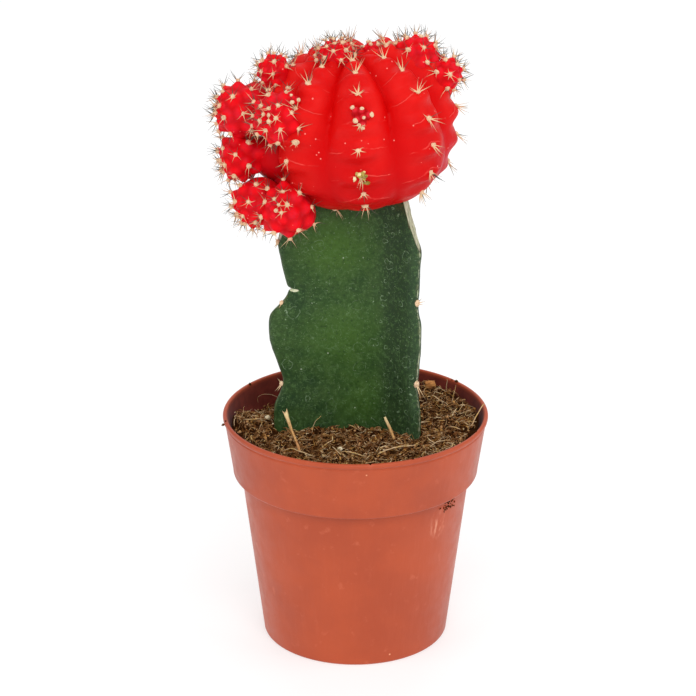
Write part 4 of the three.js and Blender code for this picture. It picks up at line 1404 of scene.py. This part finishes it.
def soilMesh():
    # A closed plug of soil: its side follows the pot's wall, and its top is a polar grid of heights
    spoke = circle(evenAngles(soilShape["around"]))
    widths = ("footRadius", "bodyTopRadius", "collarFootRadius")
    foot, body, collar = (potShape[key] - potShape["wall"] for key in widths)
    walls = [(foot - 0.3, potShape["base"] + 0.3), (body - 0.3, ledge), (collar - 0.2, ledge + 1.3),
             (soilRadius - 0.2, soilShape["wallTop"])]
    rings = [np.concatenate([radius * spoke, np.full((len(spoke), 1), z)], axis=1) for radius, z in walls]
    share = 1 - (np.arange(soilShape["rings"]) / soilShape["rings"]) ** 1.1
    flat = soilRadius * share[:, None, None] * spoke
    heights = crumbly(flat[..., 0], flat[..., 1]) - 0.9 * easeBetween(0.93, 1, share)[:, None]
    top = np.concatenate([flat, heights[..., None]], axis=-1)
    allRings = np.concatenate([np.array(rings), top])
    end = [0, 0, soilTop(0.0, 0.0)]
    points, faces = closedSkin([0, 0, potShape["base"] + 0.3], allRings, end)
    return layMesh("soil_bed", points, faces)


def freeSpots(count, clearance, inset):
    # Random places on the soil, evenly spread over the disc and outside the stem
    spots = np.zeros((0, 2))
    while len(spots) < count:
        reach = (soilRadius - inset) * np.sqrt(draw.random((count, 1)))
        fresh = reach * circle(fullTurn * draw.random(count))
        outside = [isOutside(stemTree, (x, y, soilShape["lookHeight"]), clearance) for x, y in fresh]
        spots = np.concatenate([spots, fresh[np.array(outside)]])
    return spots[:count]


def crumbMesh():
    # Loose crumbs: rough lumps half sunk in the soil
    spots = freeSpots(soilShape["crumbs"], 0.1, 0.5)
    size = mostlySmall(*soilShape["crumbSizes"], len(spots))
    sizes = size * draw.uniform([[0.9, 0.6, 0.45]], [[1.7, 1.1, 0.9]], (len(spots), 3))
    height = crumbly(spots[:, 0], spots[:, 1]) + draw.uniform(0, 0.3, len(spots))
    places = np.concatenate([spots, height[:, None]], axis=1)
    lumps = lumpsAt(places, sizes, 0.35)
    return lumpMesh("soil_crumbs", lumps, np.clip(draw.normal(0.45, 0.27, len(spots)), 0, 1))


def fibreMesh():
    # Short curled fibres: each path turns at a steady rate with a wiggle, rises in a low arch above
    # the soil and rests on it at both ends
    count, steps, sides = soilShape["fibres"], 6, 3
    middle = slice(steps // 2, steps // 2 + 1)
    spots = freeSpots(count, 0.4, 0.9)
    t = np.linspace(-0.5, 0.5, steps)
    length = mostlySmall(*soilShape["fibreLengths"], count)
    bend = draw.normal(0, 1.9, (count, 1)) + 2.2 * draw.normal(0, 1, (count, 1)) * t
    heading = fullTurn * draw.random((count, 1)) + bend * t
    stride = length / (steps - 1)
    x = spots[:, :1] + np.cumsum(np.cos(heading) * stride, axis=1) - length / 2 * np.cos(heading[:, middle])
    y = spots[:, 1:] + np.cumsum(np.sin(heading) * stride, axis=1) - length / 2 * np.sin(heading[:, middle])
    reach = np.hypot(x, y)
    inward = np.minimum(1, (soilRadius - 0.4) / reach)
    x, y = x * inward, y * inward
    arch = draw.uniform(0.05, 0.4, (count, 1)) + draw.uniform(0, 0.4, (count, 1)) * length * (0.25 - t * t)
    tilt = draw.normal(0, 0.35, (count, 1)) * length * t
    z = crumbly(x[:, middle], y[:, middle]) * 0.5 + soilTop(x, y) * 0.5 + arch + tilt
    paths = np.stack([x, y, z], axis=-1)
    radii = mostlySmall(*soilShape["fibreWidths"], count) * (1 - 0.5 * (2 * t) ** 4)
    points, faces = tubesAlong(paths, radii, sides)
    tone = np.repeat(np.clip(draw.normal(0.5, 0.27, (count, 1)), 0, 1), steps, axis=1)
    return layMesh("soil_fibres", points, faces, {"tone": spreadAlong(tone, steps, sides)})


def grainMesh():
    # Pale grains lying on top, three of them large
    spots = freeSpots(soilShape["grains"], 0.3, 1)
    sizes = draw.uniform(0.12, 0.3, (len(spots), 1)) * draw.uniform(0.5, 1.2, (len(spots), 3))
    places = np.concatenate([spots, [place for place, _ in largeGrains]])
    lift = np.repeat([0.3, 0.35], [len(spots), len(largeGrains)])
    height = crumbly(places[:, 0], places[:, 1]) + lift
    sizes = np.concatenate([sizes, [size for _, size in largeGrains]])
    lumps = lumpsAt(np.concatenate([places, height[:, None]], axis=1), sizes)
    tones = np.append(draw.uniform(0.3, 0.8, len(spots)), np.ones(len(largeGrains)))
    return lumpMesh("soil_grains", lumps, tones)


potGrime = {
    "smears": 64,
    "heading": -36,
    "crumbs": [(-27.2, -5.6, 48.5), (-26.7, -5.3, 49.1), (21.5, 15.9, 49.4), (20.6, 17.0, 49.3),
               (-22.4, 14.4, 49.3), (3.0, -26.9, 49.2), (11.5, -24.4, 49.2), (24.6, -10.5, 49.1)],
}


def grimeMesh():
    # Dark soil stuck on the pot: a patch of flat smears under the ledge on the right, and a few crumbs
    # on the rim
    count, onRim = potGrime["smears"], potGrime["crumbs"]
    z = ledge - 0.4 - 2.6 * draw.random(count) ** 1.3
    slant = 1.1 * (ledge - z) * draw.normal(0.3, 0.5, count)
    angle = np.radians(potGrime["heading"] + slant + draw.normal(0, 3.2, count))
    radius = lerp(potShape["footRadius"], potShape["bodyTopRadius"], z / ledge) + 0.01
    patch = np.concatenate([radius[:, None] * circle(angle), z[:, None]], axis=1)
    small = draw.uniform(0.06, 0.15, (count, 1))
    small = small * draw.uniform([1.5, 1.2, 0.35], [3.6, 2.6, 0.8], (count, 3))
    bigger = draw.uniform(0.2, 0.42, (len(onRim), 1)) * [[1.2, 0.8, 0.7]]
    lumps = lumpsAt(np.concatenate([patch, onRim]), np.concatenate([small, bigger]))
    return lumpMesh("pot_grime", lumps, draw.uniform(0, 0.35, len(lumps[0])))


rootPaths = [  # radius and knots of the long pale roots
    (0.13, (18.4, -3.4, 46.6), (19.4, -4.9, 47.8), (20.6, -6.2, 48.2), (22.2, -6.0, 47.4),
     (23.4, -4.6, 46.9)),
    (0.12, (21.6, -8.6, 46.6), (23.6, -5.6, 48.0), (25.2, -2.6, 49.6), (26.3, 0.4, 50.3), (26.9, 2.2, 49.9)),
    (0.07, (20.2, 8.2, 46.6), (20.6, 9.4, 48.4), (21.2, 10.8, 50.6)),
    (0.09, (19.6, 14.2, 46.6), (19.3, 13.9, 48.6), (19.4, 13.2, 50.9)),
    (0.15, (4.4, -15.4, 46.2), (6.6, -14.9, 47.1), (9.4, -13.8, 47.3), (12.4, -11.9, 46.7)),
    (0.05, (-9.0, -5.9, 46.6), (-8.4, -5.4, 48.8), (-7.0, -5.2, 50.4)),
    (0.035, (-20.6, 15.6, 43.4), (-20.8, 15.2, 46.0), (-18.6, 15.4, 46.6), (-15.6, 14.4, 46.0)),
    (0.09, (-24.0, 2.4, 46.0), (-22.4, 1.0, 46.9), (-20.2, 1.4, 46.8), (-19.0, 3.0, 46.2)),
    (0.1, (-3.0, -14.2, 46.2), (-1.8, -15.8, 47.0), (0.4, -16.6, 46.8), (2.2, -16.2, 46.2)),
    (0.08, (14.6, -13.4, 46.4), (16.4, -12.4, 47.6), (18.6, -11.0, 47.4), (20.0, -9.0, 46.8)),
    (0.08, (-14.8, -12.6, 45.8), (-13.0, -13.8, 46.8), (-10.6, -15.4, 46.6), (-8.8, -15.2, 45.9)),
    (0.1, (13.6, 20.4, 46.0), (10.4, 21.8, 47.4), (6.2, 22.2, 47.2), (3.4, 21.0, 46.2)),
    (0.09, (-9.6, 21.8, 45.6), (-6.4, 20.6, 46.9), (-3.2, 21.4, 46.6), (-0.8, 23.2, 46.0)),
]


def rootMesh():
    # Each root is a smooth curve through its knots, thinner at both ends
    steps, sides = 22, 6
    paths = np.array([smoothPath(knots, steps) for _, *knots in rootPaths])
    paths[:, 1:-1] += 0.1 * np.stack([cloud(paths[:, 1:-1] + shift, 0.9) for shift in (0, 7, 13)], axis=-1)
    t = np.linspace(-1, 1, steps)
    radii = np.array([radius for radius, *_ in rootPaths])[:, None] * (1 - 0.55 * t ** 4)
    points, faces = tubesAlong(paths, radii, sides)
    tone = np.broadcast_to(np.linspace(0.72, 0.86, len(rootPaths))[:, None], (len(rootPaths), steps))
    return layMesh("soil_roots", points, faces, {"tone": spreadAlong(tone, steps, sides)})


peatTones = {  # dark, middle and pale, and how much of it is moist
    "driedFlower": ((0.12, 0.08, 0.015), (0.5, 0.39, 0.1), (0.88, 0.75, 0.46), 0.25),
    "peatBrown": ((0.032, 0.01, 0.002), (0.17, 0.068, 0.022), (0.55, 0.31, 0.14), 0.4),
    "peatFibre": ((0.075, 0.026, 0.006), (0.34, 0.17, 0.065), (0.82, 0.62, 0.38), 0.25),
    "paleGrain": ((0.3, 0.17, 0.07), (0.5, 0.34, 0.16), (0.82, 0.7, 0.48), 0.1),
}
oliveTint = (1.0, 0.9, 0.5)


def peatMaterial(name):
    # Peat: its tone runs from dark to pale, mottled at the scale of a crumb, moist and olive in patches
    dark, middle, pale, moist = peatTones[name]
    startMaterial(name, 0.95, 0.06)
    place = placeInMm()
    mottle = noise(place, 0.7, 4, 0.65)
    tone = calc("SUBTRACT", calc("ADD", painted("tone"), times(mottle, 0.4)), 0.2)
    ground(fade(tone, 0.0, 0.55), dark, middle)
    coat(fade(tone, 0.5, 1.0), pale)
    coat(fade(noise(place, 6, 3), 0.5, 0.75, 0, moist), dark)
    coat(fade(noise(place, 1.3, 2), 0.48, 0.62, 0, 0.8), oliveTint, "MULTIPLY")
    return finishMaterial(bump(mottle, 0.2))


# Straws and bark

strawShapes = [
    {"name": "straw_tall", "piece": "straw_long", "width": [0.2, 0.24, 0.28, 0.38], "split": 0.78,
     "knots": [(-10.4, -12.6, 40), (-11.4, -11, 45), (-13.2, -7.6, 48.6), (-14.6, -4.4, 51.4)]},
    {"name": "straw_short", "piece": "straw_stub", "width": [0.2, 0.25, 0.32, 0.24], "split": 0.0,
     "knots": [(9.2, -8.2, 42), (8.2, -7.4, 45.4), (7.2, -6.8, 48), (6, -6.4, 50.6)]},
]


prongs = {"apart": 0.4, "wedge": 2.2, "cleft": 1.3}  # shares of the width, and how deep the cleft is


def strawMesh(straw):
    # A ridged tube along a smooth path; the long straw's top is split in two prongs by a wedge
    steps, sides = 44, 20
    path = smoothPath(straw["knots"], steps)
    t = np.linspace(0, 1, steps)
    width = np.interp(t, np.linspace(0, 1, len(straw["width"])), straw["width"])
    angle = evenAngles(sides)
    ridge = 1 + 0.1 * np.sin(5 * angle + 3 * t[:, None]) + 0.05 * np.sin(9 * angle)
    tangent = unit(np.gradient(path, axis=0))
    across = unit(np.cross(tangent, [0.0, 1.0, 0.0]))
    square = np.cross(tangent, across)
    spoke = across[:, None] * np.cos(angle)[:, None] + 0.75 * square[:, None] * np.sin(angle)[:, None]
    rings = path[:, None] + (width[:, None] * ridge)[..., None] * spoke
    rings = rings + 0.06 * cloud(rings, 0.8)[..., None] * spoke
    if straw["split"]:
        apart = np.sign(np.cos(angle)) * prongs["apart"] * easeBetween(straw["split"], 1.0, t)[:, None]
        rings = rings + (apart * width[:, None])[..., None] * across[:, None]
        cleft = (1 - np.abs(np.cos(angle))) * easeBetween(straw["split"], 1.0, t)[:, None]
        rings = rings - (prongs["wedge"] * cleft)[..., None] * tangent[:, None] * width[:, None, None]
    end = path[-1] - tangent[-1] * (prongs["cleft"] if straw["split"] else 0.1)
    points, faces = closedSkin(path[0], rings, end)
    along = np.concatenate([[0], np.repeat(t, sides), [1]])
    return layMesh(straw["piece"], points, faces, {"along": along})


strawTones = {"dark": (0.42, 0.19, 0.06), "tan": (0.68, 0.41, 0.16), "cream": (0.86, 0.68, 0.36),
              "red": (0.4, 0.12, 0.06)}
barkTones = {"dark": (0.28, 0.1, 0.03), "orange": (0.58, 0.26, 0.08), "speck": (0.14, 0.06, 0.03)}


def dryStraw():
    # Dry stalk: reddish tan with streaks, cream towards the broken top
    startMaterial("dryStraw", 0.75, 0.2)
    streak = noise(placeInMm(stretch=(1, 1, 0.25)), 0.35, 3)
    ground(fade(streak, 0.35, 0.65), strawTones["dark"], strawTones["tan"])
    coat(fade(painted("along"), 0.6, 1.0, 0, 0.9), strawTones["cream"])
    coat(times(fade(noise(placeInMm(), 1.5, 3), 0.5, 0.68), 0.4), strawTones["red"])
    return finishMaterial(bump(streak, 0.1))


chipShape = {"rows": 22, "around": 36, "boxy": 0.55, "size": 0.86, "rough": 0.1, "layers": 14,
             "layerDepth": 0.04}


def chipMesh():
    # A chip of bark: a flattened lump in the chip's box, with layered edges
    shape = chipShape
    centre, half = (chipLow + chipHigh) / 2, (chipHigh - chipLow) / 2
    fall = math.pi * (1 - (np.arange(shape["rows"]) + 0.5) / shape["rows"])
    swings, falls = np.meshgrid(evenAngles(shape["around"]), fall)
    ball = directions(swings, falls)
    boxy = ball / np.maximum(np.abs(ball).max(axis=-1, keepdims=True), 0.3) ** shape["boxy"]
    layers = shape["layerDepth"] * np.sin(shape["layers"] * ball[..., 2])
    size = shape["size"] + shape["rough"] * cloud(ball * 4 + 2, 1.3) + layers
    rings = centre + boxy * half * size[..., None]
    ends = centre + np.array([[0, 0, -0.8], [0, 0, 0.8]]) * half
    points, faces = closedSkin(ends[0], rings, ends[1])
    return layMesh("bark_piece", points, faces)


def barkMaterial():
    # Layered bark with dark specks
    startMaterial("barkBrown", 0.85, 0.15)
    layers = noise(placeInMm(stretch=(0.5, 1, 3)), 1.1, 4, 0.6)
    ground(fade(layers, 0.35, 0.65), barkTones["dark"], barkTones["orange"])
    coat(specks(placeInMm(), 0.9, 0.2, 0.4), barkTones["speck"])
    return finishMaterial(bump(layers, 0.25))


flowerRest = {"fall": 112.5, "lumps": 16, "spread": (1.25, 1.15, 0.5)}


def flowerRestMesh(globe):
    # The dried rest of a flower on the front rib: a knot of shrivelled lumps
    fall, count = np.radians([flowerRest["fall"]]), flowerRest["lumps"]
    swing = np.radians(ribTurn(globe, 0, fall))
    root, out, up, _ = skinFrames(globe, swing, fall)
    side = np.cross(up, out)
    spots = draw.uniform(-1, 1, (count, 3)) * flowerRest["spread"]
    places = root + spots[:, :1] * side + spots[:, 1:2] * up + (0.6 + spots[:, 2:]) * out
    sizes = draw.uniform(0.3, 0.62, (count, 1)) * draw.uniform(0.6, 1.2, (count, 3))
    lumps = lumpsAt(places, sizes)
    return lumpMesh("flower_rest", lumps, draw.uniform(0.2, 1, count))


# Assembly

makeCamera()
makeLight()
makeFloor()
print("camera, light and floor are set")

potPiece = addPiece("pot_shell", drillDrains(potMesh()), potPlastic(), ["pot"])
paintInside(potPiece.data)
print("the pot is turned")

stemPiece = addPiece("stem_skin", stemMesh(), stemSkin(), ["rootstock"])
stemTree = searchTree(stemPiece.data)
print("the stem is grown")

globes = allGlobes()
fleshPiece = addPiece("globe_flesh", fleshMesh(globes), globeFlesh(), ["scion"])
fleshTree = searchTree(fleshPiece.data)
print("the globes are joined")

felt, horn = areoleFelt(), spineHorn()


for owner, grow, slot in (("mother", growMotherAreoles, "globe_flesh"),
                          ("pup", growPupAreoles, "globe_flesh"),
                          ("stem", growStemAreoles, "stem_skin")):
    pads, spines = grow()
    addPiece(f"{owner}_areoles", layMesh(f"{owner}_areoles", *pads), felt)
    needles = spineMesh(f"{owner}_spines", *spines, areoleLook[owner]["dusky"])
    addPiece(f"{owner}_spines", needles, horn)
print("the areoles and spines are set")

driedFlower, peat, fibre, pale = map(peatMaterial, peatTones)
addPiece("flower_rest", flowerRestMesh(globes[0]), driedFlower)
addPiece("soil_bed", soilMesh(), peat, ["soil"])
addPiece("soil_crumbs", crumbMesh(), peat)
addPiece("soil_fibres", fibreMesh(), fibre)
addPiece("soil_grains", grainMesh(), pale)
addPiece("soil_roots", rootMesh(), fibre)
addPiece("pot_grime", grimeMesh(), peat)
print("the soil is filled in")

strawMaterial = dryStraw()
for straw in strawShapes:
    addPiece(straw["piece"], strawMesh(straw), strawMaterial, [straw["name"]])
addPiece("bark_piece", chipMesh(), barkMaterial(), ["bark_chip"])
print("the straws and the bark are laid")
